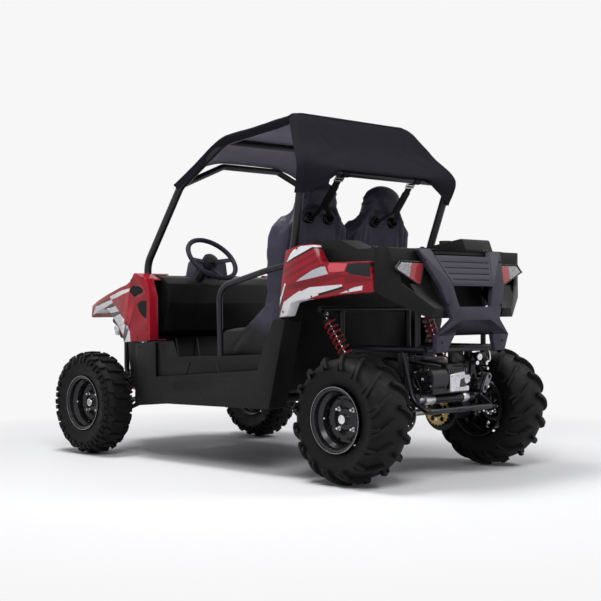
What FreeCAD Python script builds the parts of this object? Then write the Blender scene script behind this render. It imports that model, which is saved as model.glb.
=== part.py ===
import FreeCAD, Part

import math
import os

V = FreeCAD.Vector

# Side by side utility vehicle, in millimetres. +X forward, +Y left, +Z up, origin on the ground
# midway between the axles.

# Driving dimensions
WHEELBASE = 1770.0
HALF_LENGTH = 1190.0
FRONT_HALF_TRACK = 585.0
REAR_HALF_TRACK = 483.0
FRONT_TYRE_R = 266.5
FRONT_TYRE_W = 180.0
REAR_TYRE_R = 279.5
REAR_TYRE_W = 240.0
RIM_SEAT_R = 127.0
RIM_LIP_R = 141.0
RIM_WALL = 5.0
FRONT_RIM_HALF_W = 72.0
REAR_RIM_HALF_W = 106.0
DISC_DEPTH = 78.0
SPINDLE_R = 14.0
AXLE_R = 16.0
RUNNING_GAP = 0.3
SEAT_GAP = 0.3

KINGPIN_Y = 520.0
BALL_SPREAD = 80.0
STEER_ARM_BACK = 110.0
STEER_ARM_IN = 40.0
TIE_DROP = 49.5
EYE_LIFT = 24.0

FRAME_R = 16.0
FRAME_Z = 330.0
RAIL_Y = 230.0
SILL_TUBE_Y = 465.0
REAR_RAIL_Z = 568.0
REAR_CROSS_X = -1085.0
NOSE_RAIL_Y = 180.0
NOSE_RAIL_Z = 600.0
NOSE_X = 1094.0
HITCH_Z = 302.0
HITCH_T = 6.0
HITCH_R = 8.5
SWING_PIVOT_X = -560.0
SWING_PIVOT_DROP = 46.0
SWING_ARM_Y = 250.0
SHOCK_FOOT_X = -830.0
SHOCK_FOOT_Y = 285.0
SHOCK_FOOT_RISE = 42.5
ENGINE_RISE = 72.5
SHOCK_BAR_X = -587.0
SHOCK_BAR_Z = 745.0

CAGE_R = 19.0
HEADER_R = 16.0
HOOP_Y = 470.0
HOOP_FOOT_X = -352.0
KNEE_X = -623.0
KNEE_Y = 508.0
KNEE_Z = 1375.0
ROOF_REAR_X = -440.0
ROOF_Y = 378.0
ROOF_REAR_Z = 1619.0
ROOF_FRONT_X = 49.0
ROOF_FRONT_Z = 1562.0
BROW_X = 278.0
BROW_Y = 476.0
BROW_Z = 1357.0
PILLAR_X = 590.0
PILLAR_Y = 448.0
PILLAR_Z = 985.0

SKIN = 5.0
BODY_Y = 545.0
DECK_Y = 452.0
SEAT_Y = 225.0
WHEEL_X = 353.0
WHEEL_Y = 215.0
WHEEL_Z = 1008.0
WHEEL_RING_R = 137.0
WHEEL_GRIP_R = 13.0
WHEEL_TILT = 42.8

FRONT_X = WHEELBASE / 2
REAR_X = -WHEELBASE / 2


def lerp(a, b, t):
    return a + (b - a) * t


def rounded_wire(points, radius=0.0):
    """Closed wire through 3D points, each corner rounded to the radius or as far as it fits."""
    count = len(points)
    runs = []
    for i in range(count):
        before = points[i - 1]
        here = points[i]
        after = points[(i + 1) % count]
        into = here - before
        out = after - here
        turn = into.getAngle(out)
        if radius <= 0 or turn < 0.03:
            runs.append((here, here, None))
            continue
        reach = radius * math.tan(turn / 2)
        reach = min(reach, 0.45 * into.Length, 0.45 * out.Length)
        used = reach / math.tan(turn / 2)
        into.normalize()
        out.normalize()
        start = here - into * reach
        end = here + out * reach
        bisector = out - into
        bisector.normalize()
        centre = here + bisector * math.hypot(used, reach)
        middle = centre - bisector * used
        runs.append((start, end, middle))
    edges = []
    for i in range(count):
        start, end, middle = runs[i]
        if middle is not None:
            edges.append(Part.Arc(start, middle, end).toShape())
        following = runs[(i + 1) % count][0]
        if (following - end).Length > 1e-6:
            edges.append(Part.LineSegment(end, following).toShape())
    return Part.Wire(edges)


def side_prism(points, y0, y1, radius=0.0):
    """Solid with an outline of (x, z) points, from y0 to y1."""
    wire = rounded_wire([V(x, y0, z) for x, z in points], radius)
    return Part.Face(wire).extrude(V(0, y1 - y0, 0))


def plan_prism(points, z0, z1, radius=0.0):
    """Solid with an outline of (x, y) points, from z0 to z1."""
    wire = rounded_wire([V(x, y, z0) for x, y in points], radius)
    return Part.Face(wire).extrude(V(0, 0, z1 - z0))


def front_prism(points, x0, x1, radius=0.0):
    """Solid with an outline of (y, z) points, from x0 to x1."""
    wire = rounded_wire([V(x0, y, z) for y, z in points], radius)
    return Part.Face(wire).extrude(V(x1 - x0, 0, 0))


def box(x0, x1, y0, y1, z0, z1):
    return Part.makeBox(x1 - x0, y1 - y0, z1 - z0, V(x0, y0, z0))


def rod(start, end, radius):
    way = end - start
    return Part.makeCylinder(radius, way.Length, start, way)


def tube(points, radius, bend=60.0):
    """Round bar through the points, its corners bent to the given radius."""
    edges = []
    last = points[0]
    for i in range(1, len(points) - 1):
        here = points[i]
        into = here - points[i - 1]
        out = points[i + 1] - here
        turn = into.getAngle(out)
        if turn < 0.02:
            continue
        reach = min(bend * math.tan(turn / 2), 0.45 * into.Length, 0.45 * out.Length)
        used = reach / math.tan(turn / 2)
        into.normalize()
        out.normalize()
        start = here - into * reach
        end = here + out * reach
        bisector = out - into
        bisector.normalize()
        centre = here + bisector * math.hypot(used, reach)
        edges.append(Part.LineSegment(last, start).toShape())
        edges.append(Part.Arc(start, centre - bisector * used, end).toShape())
        last = end
    edges.append(Part.LineSegment(last, points[-1]).toShape())
    path = Part.Wire(edges)
    way = points[1] - points[0]
    ring = Part.Wire([Part.Circle(points[0], way, radius).toShape()])
    return path.makePipeShell([ring], True, False)


def ring_about_y(profile, centre):
    """Solid of revolution about a line along Y. The profile is (radius, y) points."""
    wire = rounded_wire([V(centre.x + r, centre.y + y, centre.z) for r, y in profile], 0.0)
    return Part.Face(wire).revolve(centre, V(0, 1, 0), 360)


def mirrored(shape):
    return shape.mirror(V(0, 0, 0), V(0, 1, 0))


def fused(shapes):
    shapes = list(shapes)
    whole = shapes[0]
    if len(shapes) > 1:
        whole = shapes[0].multiFuse(shapes[1:])
    return whole.removeSplitter()


def both_sides(shape):
    return Part.makeCompound([shape, mirrored(shape)])


def clear_of(shape, others):
    """The shape with the room of its neighbours taken out, so that it seats on them."""
    for other in others:
        if shape.BoundBox.intersect(other.BoundBox):
            shape = shape.cut(other)
    return shape


def biggest(shape):
    return max(shape.Solids, key=lambda solid: solid.Volume)


def inset(points, distances):
    """Outline with each edge moved inwards by its distance. Edge i runs from point i to the next."""
    count = len(points)
    area = 0.0
    for i in range(count):
        x0, y0 = points[i]
        x1, y1 = points[(i + 1) % count]
        area += x0 * y1 - x1 * y0
    turn = 1.0 if area > 0 else -1.0
    lines = []
    for i in range(count):
        x0, y0 = points[i]
        x1, y1 = points[(i + 1) % count]
        length = math.hypot(x1 - x0, y1 - y0)
        nx = -(y1 - y0) / length * turn
        ny = (x1 - x0) / length * turn
        lines.append((x0 + nx * distances[i], y0 + ny * distances[i], x1 - x0, y1 - y0))
    result = []
    for i in range(count):
        ax, ay, adx, ady = lines[i - 1]
        bx, by, bdx, bdy = lines[i]
        cross = adx * bdy - ady * bdx
        if abs(cross) < 1e-9:
            result.append((bx, by))
            continue
        t = ((bx - ax) * bdy - (by - ay) * bdx) / cross
        result.append((ax + adx * t, ay + ady * t))
    return result


def moulding(side, plan, z0, z1, thickness, open_edges, radius=0.0):
    """Moulded panel: a side outline crossed with a plan outline, hollowed to one thickness.

    open_edges are the plan edges on which the moulding has no wall.
    """
    y_low = min(y for x, y in plan) - 1.0
    y_high = max(y for x, y in plan) + 1.0
    solid = side_prism(side, y_low, y_high, radius).common(plan_prism(plan, z0, z1))
    inner_side = inset(side, [thickness] * len(side))
    walls = [-2 * thickness if i in open_edges else thickness for i in range(len(plan))]
    inner_plan = inset(plan, walls)
    hollow = side_prism(inner_side, y_low - 20, y_high + 20, max(radius - thickness, 0))
    hollow = hollow.common(plan_prism(inner_plan, z0 - 1, z1 + 1))
    return solid.cut(hollow)


def bent_sheet(points, thickness, y0, y1):
    """Sheet of one thickness that follows a line of (x, z) points, from y0 to y1."""
    count = len(points)
    normals = []
    for i in range(count - 1):
        dx = points[i + 1][0] - points[i][0]
        dz = points[i + 1][1] - points[i][1]
        length = math.hypot(dx, dz)
        normals.append((-dz / length, dx / length))
    offset = []
    for i in range(count):
        first = normals[max(i - 1, 0)]
        second = normals[min(i, count - 2)]
        nx = first[0] + second[0]
        nz = first[1] + second[1]
        size = nx * nx + nz * nz
        scale = 2 * thickness / size
        offset.append((points[i][0] + nx * scale, points[i][1] + nz * scale))
    return side_prism(points + offset[::-1], y0, y1)


def skin(rows, drop):
    """Thin closed solid over a grid of points, its underside moved by the drop vector."""
    under = [[p + drop for p in row] for row in rows]
    faces = []

    def quad(a, b, c, d):
        for corner in ((a, b, c), (a, c, d)):
            faces.append(Part.Face(Part.makePolygon([corner[0], corner[1], corner[2], corner[0]])))

    for i in range(len(rows) - 1):
        for j in range(len(rows[0]) - 1):
            quad(rows[i][j], rows[i + 1][j], rows[i + 1][j + 1], rows[i][j + 1])
            quad(under[i][j], under[i][j + 1], under[i + 1][j + 1], under[i + 1][j])
    last = len(rows[0]) - 1
    for i in range(len(rows) - 1):
        quad(rows[i][0], under[i][0], under[i + 1][0], rows[i + 1][0])
        quad(rows[i][last], rows[i + 1][last], under[i + 1][last], under[i][last])
    end = len(rows) - 1
    for j in range(last):
        quad(rows[0][j], rows[0][j + 1], under[0][j + 1], under[0][j])
        quad(rows[end][j], under[end][j], under[end][j + 1], rows[end][j + 1])
    solid = Part.Solid(Part.Shell(faces))
    if solid.Volume < 0:
        solid.reverse()
    return solid


# Frame: welded tubes
def make_frame():
    bars = []
    for side in (1, -1):
        bars.append(tube([V(640, side * RAIL_Y, FRAME_Z), V(-480, side * RAIL_Y, FRAME_Z),
                          V(-640, side * RAIL_Y, REAR_RAIL_Z),
                          V(REAR_CROSS_X, side * RAIL_Y, REAR_RAIL_Z)], FRAME_R, 90))
        bars.append(tube([V(HOOP_FOOT_X - FRAME_R, side * SILL_TUBE_Y, FRAME_Z),
                          V(540, side * SILL_TUBE_Y, FRAME_Z)], FRAME_R))
        bars.append(tube([V(505, side * NOSE_RAIL_Y, FRAME_Z), V(1080, side * NOSE_RAIL_Y, FRAME_Z)],
                         FRAME_R))
        bars.append(tube([V(620, side * NOSE_RAIL_Y, FRAME_Z), V(660, side * NOSE_RAIL_Y, NOSE_RAIL_Z),
                          V(1040, side * NOSE_RAIL_Y, NOSE_RAIL_Z),
                          V(1065, side * NOSE_RAIL_Y, FRAME_Z)], FRAME_R, 70))
        bars.append(rod(V(SHOCK_BAR_X, side * RAIL_Y, REAR_RAIL_Z - 120),
                        V(SHOCK_BAR_X, side * RAIL_Y, SHOCK_BAR_Z), FRAME_R - 2))
        bars.append(rod(V(-1040, side * RAIL_Y, REAR_RAIL_Z), V(-1040, side * RAIL_Y, 890), FRAME_R - 4))
    for x, z, reach in ((HOOP_FOOT_X, FRAME_Z, SILL_TUBE_Y), (80, FRAME_Z, SILL_TUBE_Y),
                        (520, FRAME_Z, SILL_TUBE_Y), (REAR_CROSS_X, REAR_RAIL_Z, RAIL_Y),
                        (SHOCK_BAR_X, SHOCK_BAR_Z, 372), (1052, NOSE_RAIL_Z - 60, NOSE_RAIL_Y),
                        (800, FRAME_Z, NOSE_RAIL_Y), (1010, FRAME_Z, NOSE_RAIL_Y),
                        (885, NOSE_RAIL_Z, NOSE_RAIL_Y + 45)):
        bars.append(rod(V(x, -reach, z), V(x, reach, z), FRAME_R - 2))
    return fused(bars)


# Roll cage
def hoop_side(side):
    return [V(HOOP_FOOT_X, side * HOOP_Y, FRAME_Z + FRAME_R),
            V(-535, side * HOOP_Y, 1065), V(KNEE_X, side * KNEE_Y, KNEE_Z),
            V(ROOF_REAR_X, side * ROOF_Y, ROOF_REAR_Z)]


def make_rear_hoop():
    points = hoop_side(1) + hoop_side(-1)[::-1]
    loop = tube(points, CAGE_R, 70)
    belt_bar = rod(V(KNEE_X - 4, -KNEE_Y + 8, KNEE_Z - 12), V(KNEE_X - 4, KNEE_Y - 8, KNEE_Z - 12),
                   CAGE_R - 3)
    return fused([loop, belt_bar])


def make_cage_side():
    return tube([V(ROOF_REAR_X, ROOF_Y, ROOF_REAR_Z), V(ROOF_FRONT_X, ROOF_Y + 6, ROOF_FRONT_Z),
                 V(BROW_X, BROW_Y, BROW_Z), V(PILLAR_X, PILLAR_Y, PILLAR_Z),
                 V(540, SILL_TUBE_Y, FRAME_Z + FRAME_R - 2)], CAGE_R, 110)


def make_header():
    arch = tube([V(BROW_X, BROW_Y, BROW_Z + 4), V(BROW_X + 12, 190, 1478),
                 V(BROW_X + 12, -190, 1478), V(BROW_X, -BROW_Y, BROW_Z + 4)], HEADER_R, 60)
    bar_z = ROOF_FRONT_Z + CAGE_R - HEADER_R
    roof_bar = rod(V(ROOF_FRONT_X, -ROOF_Y, bar_z), V(ROOF_FRONT_X, ROOF_Y, bar_z), HEADER_R)
    return Part.makeCompound([arch, roof_bar])


def make_hip_bar():
    return tube([V(-74, 520, 484), V(-64, 520, 852), V(-367, 512, 918), V(-505, HOOP_Y + 4, 950)],
                14.0, 85)


# Floor, sills and cabin
FLOOR_TOP = FRAME_Z + FRAME_R
FLOOR_HALF_W = 440.0


def make_floor_pan():
    line = [(-520, 975), (-412, 470), (-70, 500), (-58, FLOOR_TOP), (556, FLOOR_TOP), (556, 880)]
    return bent_sheet(line, 4.0, -FLOOR_HALF_W, FLOOR_HALF_W)


def make_sill():
    side = [(575, 262), (562, 580), (385, 592), (350, 512), (-372, 484), (-470, 702), (-545, 702),
            (-440, 298), (300, 286)]
    plan = [(590, 442), (590, 540), (540, 556), (-380, 556), (-560, BODY_Y), (-560, 442)]
    return moulding(side, plan, 250, 720, SKIN, (5,), 14)


# Front body
def make_hood():
    stations = ((598, 938, 908), (700, 926, 872), (850, 892, 838), (1000, 838, 790),
                (1110, 772, 735), (1158, 712, 690))
    widths = (330, 330, 325, 312, 285, 262)
    rows = []
    for (x, crown, edge), width in zip(stations, widths):
        row = []
        for share in (-1.0, -0.62, -0.3, 0.0, 0.3, 0.62, 1.0):
            row.append(V(x, width * share, lerp(crown, edge, abs(share) ** 2.2)))
        rows.append(row)
    return skin(rows, V(0, 0, -SKIN))


FENDER_SIDE = [(377, 598), (666, 583), (707, 645), (810, 733), (853, 754), (945, 748), (1036, 700),
               (1022, 771), (958, 797), (852, 828), (754, 852), (649, 876), (614, 893), (577, 937),
               (420, 882), (398, 847), (375, 796)]


def make_front_fender():
    plan = [(370, BODY_Y), (700, BODY_Y - 2), (1045, 492), (1045, 300), (560, 334), (560, 442),
            (370, 442)]
    return moulding(FENDER_SIDE, plan, 560, 950, SKIN, (3, 4, 5), 10)


def make_front_liner():
    side = [(1030, 690), (940, 640), (830, 585), (700, 575), (690, 640), (640, 700), (700, 830),
            (860, 760), (945, 742)]
    return side_prism(side, 362, 367, 12)


def make_dashboard():
    side = [(598, 700), (570, 905), (540, 925), (470, 912), (430, 880), (424, 780), (470, 640),
            (552, 600), (552, 700)]
    return side_prism(side, -FLOOR_HALF_W, FLOOR_HALF_W, 12)


def make_bumper():
    nose = HALF_LENGTH - 15.0
    y = NOSE_RAIL_Y - 20
    bars = [tube([V(1030, y, FRAME_Z - 22), V(nose - 30, y, FRAME_Z - 10), V(nose, y, 420),
                  V(nose, y, 640), V(1130, y, 690)], 15.0, 50)]
    bars.append(mirrored(bars[0]))
    for z in (400, 600):
        bars.append(rod(V(nose, -y, z), V(nose, y, z), 13.0))
    return fused(bars)


def make_headlamps():
    outline = [(186, 690), (272, 658), (260, 604), (192, 620)]
    return both_sides(front_prism(outline, NOSE_X, NOSE_X + 52, 12))


def make_grille():
    plate = front_prism([(-286, 700), (-262, 592), (262, 592), (286, 700)], NOSE_X - 14, NOSE_X, 16)
    for z in (612, 640, 668):
        plate = plate.cut(box(NOSE_X - 20, NOSE_X + 5, -118, 118, z, z + 16))
    for side in (1, -1):
        y = side * NOSE_RAIL_Y
        plate = plate.fuse(box(1040, NOSE_X - 4, y - 7, y + 7, NOSE_RAIL_Z - 50, NOSE_RAIL_Z))
    return plate


# Rear body
QUARTER_SIDE = [(-492, 708), (-550, 717), (-577, 774), (-635, 786), (-741, 794), (-864, 808),
                (-1031, 816), (-1027, 878), (-1011, 945), (-754, 945), (-731, 976), (-701, 1029),
                (-624, 1024), (-546, 1005), (-514, 863)]


def make_rear_quarter():
    plan = [(-480, BODY_Y - 10), (-600, BODY_Y), (-1040, 498), (-1040, DECK_Y + SEAT_GAP),
            (-480, DECK_Y + SEAT_GAP + 40)]
    return moulding(QUARTER_SIDE, plan, 690, 1050, SKIN, (3, 4), 8)


LAMP_OUTLINE = [(437, 911), (405, 939), (259, 939), (282, 845)]


def make_rear_panel():
    side = [(-600, 1036), (-663, 1051), (-804, 1045), (-902, 1002), (-1072, 1003), (-1100, 850),
            (-1170, 745), (-1160, 700), (-1040, 815), (-640, 800)]
    plan = [(-590, DECK_Y), (-1032, DECK_Y), (-1036, 498), (-1062, 470), (-1185, 240), (-1185, 205),
            (-1040, 205), (-1040, 332), (-590, 332)]
    return moulding(side, plan, 690, 1060, SKIN, (5, 6, 7, 8), 6)


def make_tail_lamps():
    return both_sides(front_prism(LAMP_OUTLINE, -1104, -1040, 12))


TRAY_Y = 329.7


def make_cargo_tray():
    outer = box(-1036, -566, -TRAY_Y, TRAY_Y, 890, 996)
    inner = box(-1032, -570, -TRAY_Y + 4, TRAY_Y - 4, 894, 1000)
    tray = outer.cut(inner)
    lip = front_prism([(-204, 996), (-204, 980), (204, 980), (204, 996)], -1076, -1036)
    return fused([tray, lip])


GUARD_LINE = [(-1153, 556), (-1168, 630), (-1185, 700), (-1167, 842), (-1095, 1003)]
GUARD_T = 24.0


def guard_plate(thickness, y_half):
    return bent_sheet([(x, z) for x, z in GUARD_LINE], -thickness, -y_half, y_half)


def make_rear_guard():
    outline = [(290, 1003), (164, 700), (250, 630), (240, 556), (172, 556), (128, 640), (99, 690),
               (-99, 690), (-128, 640), (-172, 556), (-240, 556), (-250, 630), (-164, 700),
               (-290, 1003), (-205, 1003), (-139, 842), (-112, 752), (112, 752), (139, 842),
               (205, 1003)]
    return guard_plate(GUARD_T, 300).common(front_prism(outline, -1250, -1050, 8))


def make_tailgate():
    outline = [(191, 975), (139, 842), (-139, 842), (-191, 975)]
    return guard_plate(GUARD_T - 8, 300).common(front_prism(outline, -1250, -1050))


def make_fuel_tank():
    side = [(-690, 1012), (-820, 1034), (-1010, 1062), (-1030, 1010), (-1028, 894.3), (-690, 894.3)]
    tank = side_prism(side, -320, -120, 14)
    cap = rod(V(-830, -220, 1020), V(-830, -220, 1062), 28)
    return fused([tank, cap])


# Seats
def seat_back_rear(z):
    return -350.0 - (z - 515.0) * 0.142


def make_seat():
    low = 474.0
    top = 1359.0
    core = [(seat_back_rear(low), low), (seat_back_rear(top), top), (seat_back_rear(top) + 62, top),
            (seat_back_rear(1120) + 78, 1120), (seat_back_rear(640) + 95, 640),
            (20, 600), (55, 560), (50, low)]
    wings = [(seat_back_rear(560), 560), (seat_back_rear(1230), 1230), (seat_back_rear(1180) + 110, 1180),
             (seat_back_rear(1085) + 140, 1085), (seat_back_rear(760) + 130, 760), (-120, 660),
             (10, 650), (35, 560)]
    outline = [(SEAT_Y + y, z) for y, z in
               ((205, low), (212, 640), (172, 820), (200, 1040), (196, 1130), (132, 1215), (112, 1330),
                (90, top), (-90, top), (-112, 1330), (-132, 1215), (-196, 1130), (-200, 1040),
                (-172, 820), (-212, 640), (-205, low))]
    mask = front_prism(outline, -700, 300, 24)
    body = side_prism(core, SEAT_Y - 230, SEAT_Y + 230, 24)
    for side in (1, -1):
        wing = side_prism(wings, SEAT_Y + side * 175 - 45, SEAT_Y + side * 175 + 45, 24)
        body = body.fuse(wing)
    seat = body.common(mask)
    for side in (1, -1):
        y = SEAT_Y + side * 70
        seat = seat.cut(box(-700, 0, y - 34, y + 34, 1148, 1186))
    return biggest(seat.removeSplitter())


def make_harnesses():
    straps = []
    front = 97.0
    line = [(KNEE_X + 8, KNEE_Z - 12), (seat_back_rear(1167) - 12, 1168),
            (seat_back_rear(1167) + front, 1166), (seat_back_rear(700) + front + 6, 700)]
    for centre in (SEAT_Y + 70, SEAT_Y - 70):
        strap = bent_sheet(line, 3.0, centre - 22, centre + 22)
        straps.append(strap)
        straps.append(mirrored(strap))
    return Part.makeCompound(straps)


# Canopy
CLOTH = 3.0


def over(x, y, z, way):
    """Point on the cloth that lies on a cage tube with its centre at x, y, z."""
    reach = CAGE_R + CLOTH + 0.4
    return V(x, y, z) + V(*way).normalize() * reach


def make_canopy():
    rear_hem = [V(KNEE_X + 26, KNEE_Y + 12, 1262), over(KNEE_X, KNEE_Y - 8, KNEE_Z - 40, (-0.8, 0.6, 0.1)),
                V(KNEE_X - 24, 271, KNEE_Z + 9), V(KNEE_X - 24, 0, KNEE_Z + 13)]
    leg_x = lerp(ROOF_REAR_X, KNEE_X, 0.29)
    leg_y = lerp(ROOF_Y, KNEE_Y, 0.29)
    leg_z = lerp(ROOF_REAR_Z, KNEE_Z, 0.29)
    rear_top = [over(leg_x, leg_y, leg_z, (0.23, 0.92, 0.31)),
                over(ROOF_REAR_X, ROOF_Y, ROOF_REAR_Z, (-0.5, 0.7, 0.35)),
                over(ROOF_REAR_X, ROOF_Y - 12, ROOF_REAR_Z, (-0.77, 0, 0.64)),
                over(ROOF_REAR_X, 0, ROOF_REAR_Z, (-0.77, 0, 0.64))]
    crest = [V(ROOF_REAR_X + 85, ROOF_Y + 62, ROOF_REAR_Z - 86),
             over(ROOF_REAR_X + 8, ROOF_Y, ROOF_REAR_Z, (0.1, 0.83, 0.55)),
             over(ROOF_REAR_X, ROOF_Y, ROOF_REAR_Z, (0.1, 0.05, 1)),
             over(ROOF_REAR_X, 0, ROOF_REAR_Z, (0.1, 0, 1))]
    tube_y = ROOF_Y + 6
    front_top = [V(ROOF_FRONT_X, tube_y + 72, ROOF_FRONT_Z - 92),
                 over(ROOF_FRONT_X, tube_y, ROOF_FRONT_Z, (0.1, 0.83, 0.55)),
                 over(ROOF_FRONT_X, tube_y, ROOF_FRONT_Z, (0.1, 0.05, 1)),
                 over(ROOF_FRONT_X, 0, ROOF_FRONT_Z, (0.1, 0, 1))]
    mid_x = lerp(ROOF_FRONT_X, BROW_X, 0.56)
    mid_y = lerp(tube_y, BROW_Y, 0.56)
    mid_z = lerp(ROOF_FRONT_Z, BROW_Z, 0.56)
    front_mid = [V(mid_x + 12, mid_y + 44, mid_z - 30), over(mid_x, mid_y, mid_z, (0.35, 0.8, 0.5)),
                 V(mid_x + 2, 330, 1540), V(mid_x + 2, 0, 1550)]
    front_hem = [V(BROW_X - 2, BROW_Y + 26, BROW_Z - 2), over(BROW_X, BROW_Y, BROW_Z, (0.35, 0.8, 0.5)),
                 V(BROW_X + 28, 190, 1500), V(BROW_X + 30, 0, 1504)]
    rows = []
    for half in (rear_hem, rear_top, crest, front_top, front_mid, front_hem):
        right = [V(p.x, -p.y, p.z) for p in half[:-1]]
        rows.append(half + right[::-1])
    return skin(rows, V(0, 0, -CLOTH))


# Power unit and rear suspension
ENGINE_Z = REAR_TYRE_R + ENGINE_RISE


def make_engine():
    z = ENGINE_Z
    case = box(-1105, -1000, -205, 40, z, z + 118)
    upper = box(-1095, -760, -160, 30, z + 60, z + 188)
    cover = Part.makeCylinder(92, 70, V(-1010, 42, z + 78), V(0, 1, 0))
    belt_case = side_prism([(-1100, z + 8), (-1100, z + 148), (-780, z + 168), (-780, z + 58),
                            (-960, z - 7)], 40, 110, 20)
    hanger = box(-1090, -1040, -60, 20, z + 150, REAR_RAIL_Z)
    return fused([case, upper, cover, belt_case, hanger])


def make_exhaust():
    return Part.makeCylinder(52, 205, V(-1085, -262, ENGINE_Z + 48), V(1, 0, 0))


def make_swing_arm():
    pivot_z = FRAME_Z - SWING_PIVOT_DROP
    parts = [rod(V(SWING_PIVOT_X, -255, pivot_z), V(SWING_PIVOT_X, 255, pivot_z), 20)]
    ear_z = REAR_TYRE_R + SHOCK_FOOT_RISE
    for side in (1, -1):
        y = side * SWING_ARM_Y
        parts.append(tube([V(SWING_PIVOT_X, y, pivot_z), V(REAR_X, y, REAR_TYRE_R)], 17))
        parts.append(Part.makeCylinder(46, 60, V(REAR_X, y - 30, REAR_TYRE_R), V(0, 1, 0)))
        foot = side * SHOCK_FOOT_Y
        parts.append(box(SHOCK_FOOT_X - 20, SHOCK_FOOT_X + 18, foot - 12, foot + 12, ear_z - 60, ear_z - 4))
    whole = fused(parts)
    bore = rod(V(REAR_X, -400, REAR_TYRE_R), V(REAR_X, 400, REAR_TYRE_R), AXLE_R + RUNNING_GAP)
    return whole.cut(bore)


def spring_unit(top, foot, coil_r, turns):
    """Shock absorber: a rod with rings that stand for the coils, from top to foot."""
    way = foot - top
    length = way.Length
    unit = way * (1.0 / length)
    shaft = Part.makeCylinder(coil_r * 0.55, length, top, unit)
    parts = [shaft]
    start = 0.10 * length
    end = 0.82 * length
    pitch = (end - start) / turns
    across = unit.cross(V(1, 0, 0))
    across.normalize()
    other = unit.cross(across)
    for i in range(turns):
        base = top + unit * (start + pitch * i)
        corners = []
        for k in range(10):
            a = math.radians(36 * k)
            corners.append(base + across * (coil_r * math.cos(a)) + other * (coil_r * math.sin(a)))
        parts.append(Part.Face(rounded_wire(corners)).extrude(unit * (pitch * 0.55)))
    return fused(parts)


def make_rear_shocks():
    foot = V(SHOCK_FOOT_X, SHOCK_FOOT_Y, REAR_TYRE_R + SHOCK_FOOT_RISE)
    unit = spring_unit(V(SHOCK_BAR_X - 6, 350, SHOCK_BAR_Z - 14), foot, 34, 10)
    return both_sides(unit)


def make_rear_bar():
    x = REAR_CROSS_X - 12
    z = HITCH_Z
    loop = tube([V(x, 205, REAR_RAIL_Z - 4), V(x, 205, z), V(x, -205, z), V(x, -205, REAR_RAIL_Z - 4)],
                13.0, 60)
    tongue = plan_prism([(x, -30), (x, 30), (x - 50, 24), (x - 68, 12), (x - 68, -12), (x - 50, -24)],
                        z - HITCH_T / 2, z + HITCH_T / 2)
    hole = Part.makeCylinder(HITCH_R, 20, V(x - 51, 0, z - 10))
    return fused([loop, tongue]).cut(hole)


# Front suspension and steering
LOW_BALL_Z = FRONT_TYRE_R - BALL_SPREAD
HIGH_BALL_Z = FRONT_TYRE_R + BALL_SPREAD
TIE_Z = FRAME_Z - TIE_DROP


def make_front_arms():
    low = LOW_BALL_Z - 14
    high = HIGH_BALL_Z + 14
    parts = []
    for inner_x in (818, 962):
        parts.append(rod(V(inner_x, NOSE_RAIL_Y + 12, FRAME_Z - 34), V(FRONT_X, KINGPIN_Y - 12, low), 11))
    for inner_x in (770, 1000):
        parts.append(rod(V(inner_x, NOSE_RAIL_Y + 12, 420), V(FRONT_X, KINGPIN_Y - 12, high), 10))
    lower = fused(parts[:2] + [rod(V(FRONT_X, KINGPIN_Y, low - 14), V(FRONT_X, KINGPIN_Y, low + 14), 17)])
    upper = fused(parts[2:] + [rod(V(FRONT_X, KINGPIN_Y, high - 14), V(FRONT_X, KINGPIN_Y, high + 14), 17)])
    return both_sides(Part.makeCompound([lower, upper]))


def make_front_shocks():
    unit = spring_unit(V(FRONT_X, 222, NOSE_RAIL_Z - 12), V(FRONT_X, 410, LOW_BALL_Z + 35.5), 28, 9)
    return both_sides(unit)


def make_knuckle():
    bottom = LOW_BALL_Z + RUNNING_GAP
    top = HIGH_BALL_Z - RUNNING_GAP
    upright = rod(V(FRONT_X, KINGPIN_Y, bottom), V(FRONT_X, KINGPIN_Y, top), 16.5)
    block = box(FRONT_X - 19, FRONT_X + 19, KINGPIN_Y - 17, KINGPIN_Y + 17, bottom + 30, top - 30)
    spindle = Part.makeCylinder(SPINDLE_R, 95, V(FRONT_X, KINGPIN_Y, FRONT_TYRE_R), V(0, 1, 0))
    z = TIE_Z - EYE_LIFT
    end_x = FRONT_X - STEER_ARM_BACK
    end_y = KINGPIN_Y - STEER_ARM_IN
    arm = plan_prism([(FRONT_X - 14, KINGPIN_Y - 16), (FRONT_X + 10, KINGPIN_Y - 16),
                      (end_x + 6, end_y - 12), (end_x - 10, end_y - 4), (end_x - 6, end_y + 10)],
                     z - 6, z + 6)
    arm = arm.fuse(box(FRONT_X - 14, FRONT_X + 10, KINGPIN_Y - 18, KINGPIN_Y, z - 6, z + 6))
    return fused([upright, block, spindle, arm])


def make_rack():
    end_x = FRONT_X - STEER_ARM_BACK
    end_y = KINGPIN_Y - STEER_ARM_IN
    bar = rod(V(end_x, -end_y, TIE_Z), V(end_x, end_y, TIE_Z), 8)
    eyes = [rod(V(end_x, side * end_y, TIE_Z - 9), V(end_x, side * end_y, TIE_Z + 9), 13) for side in (1, -1)]
    return fused([bar] + eyes)


def make_rack_housing():
    end_x = FRONT_X - STEER_ARM_BACK
    jacket = rod(V(end_x, -140, TIE_Z), V(end_x, 140, TIE_Z), 20)
    bracket = box(end_x - 10, end_x + 24, -30, 30, TIE_Z, FRAME_Z)
    bore = rod(V(end_x, -150, TIE_Z), V(end_x, 150, TIE_Z), 8 + RUNNING_GAP)
    return jacket.fuse(bracket).cut(bore)


def wheel_axis():
    tilt = math.radians(WHEEL_TILT)
    return V(-math.cos(tilt), 0, math.sin(tilt))


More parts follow.
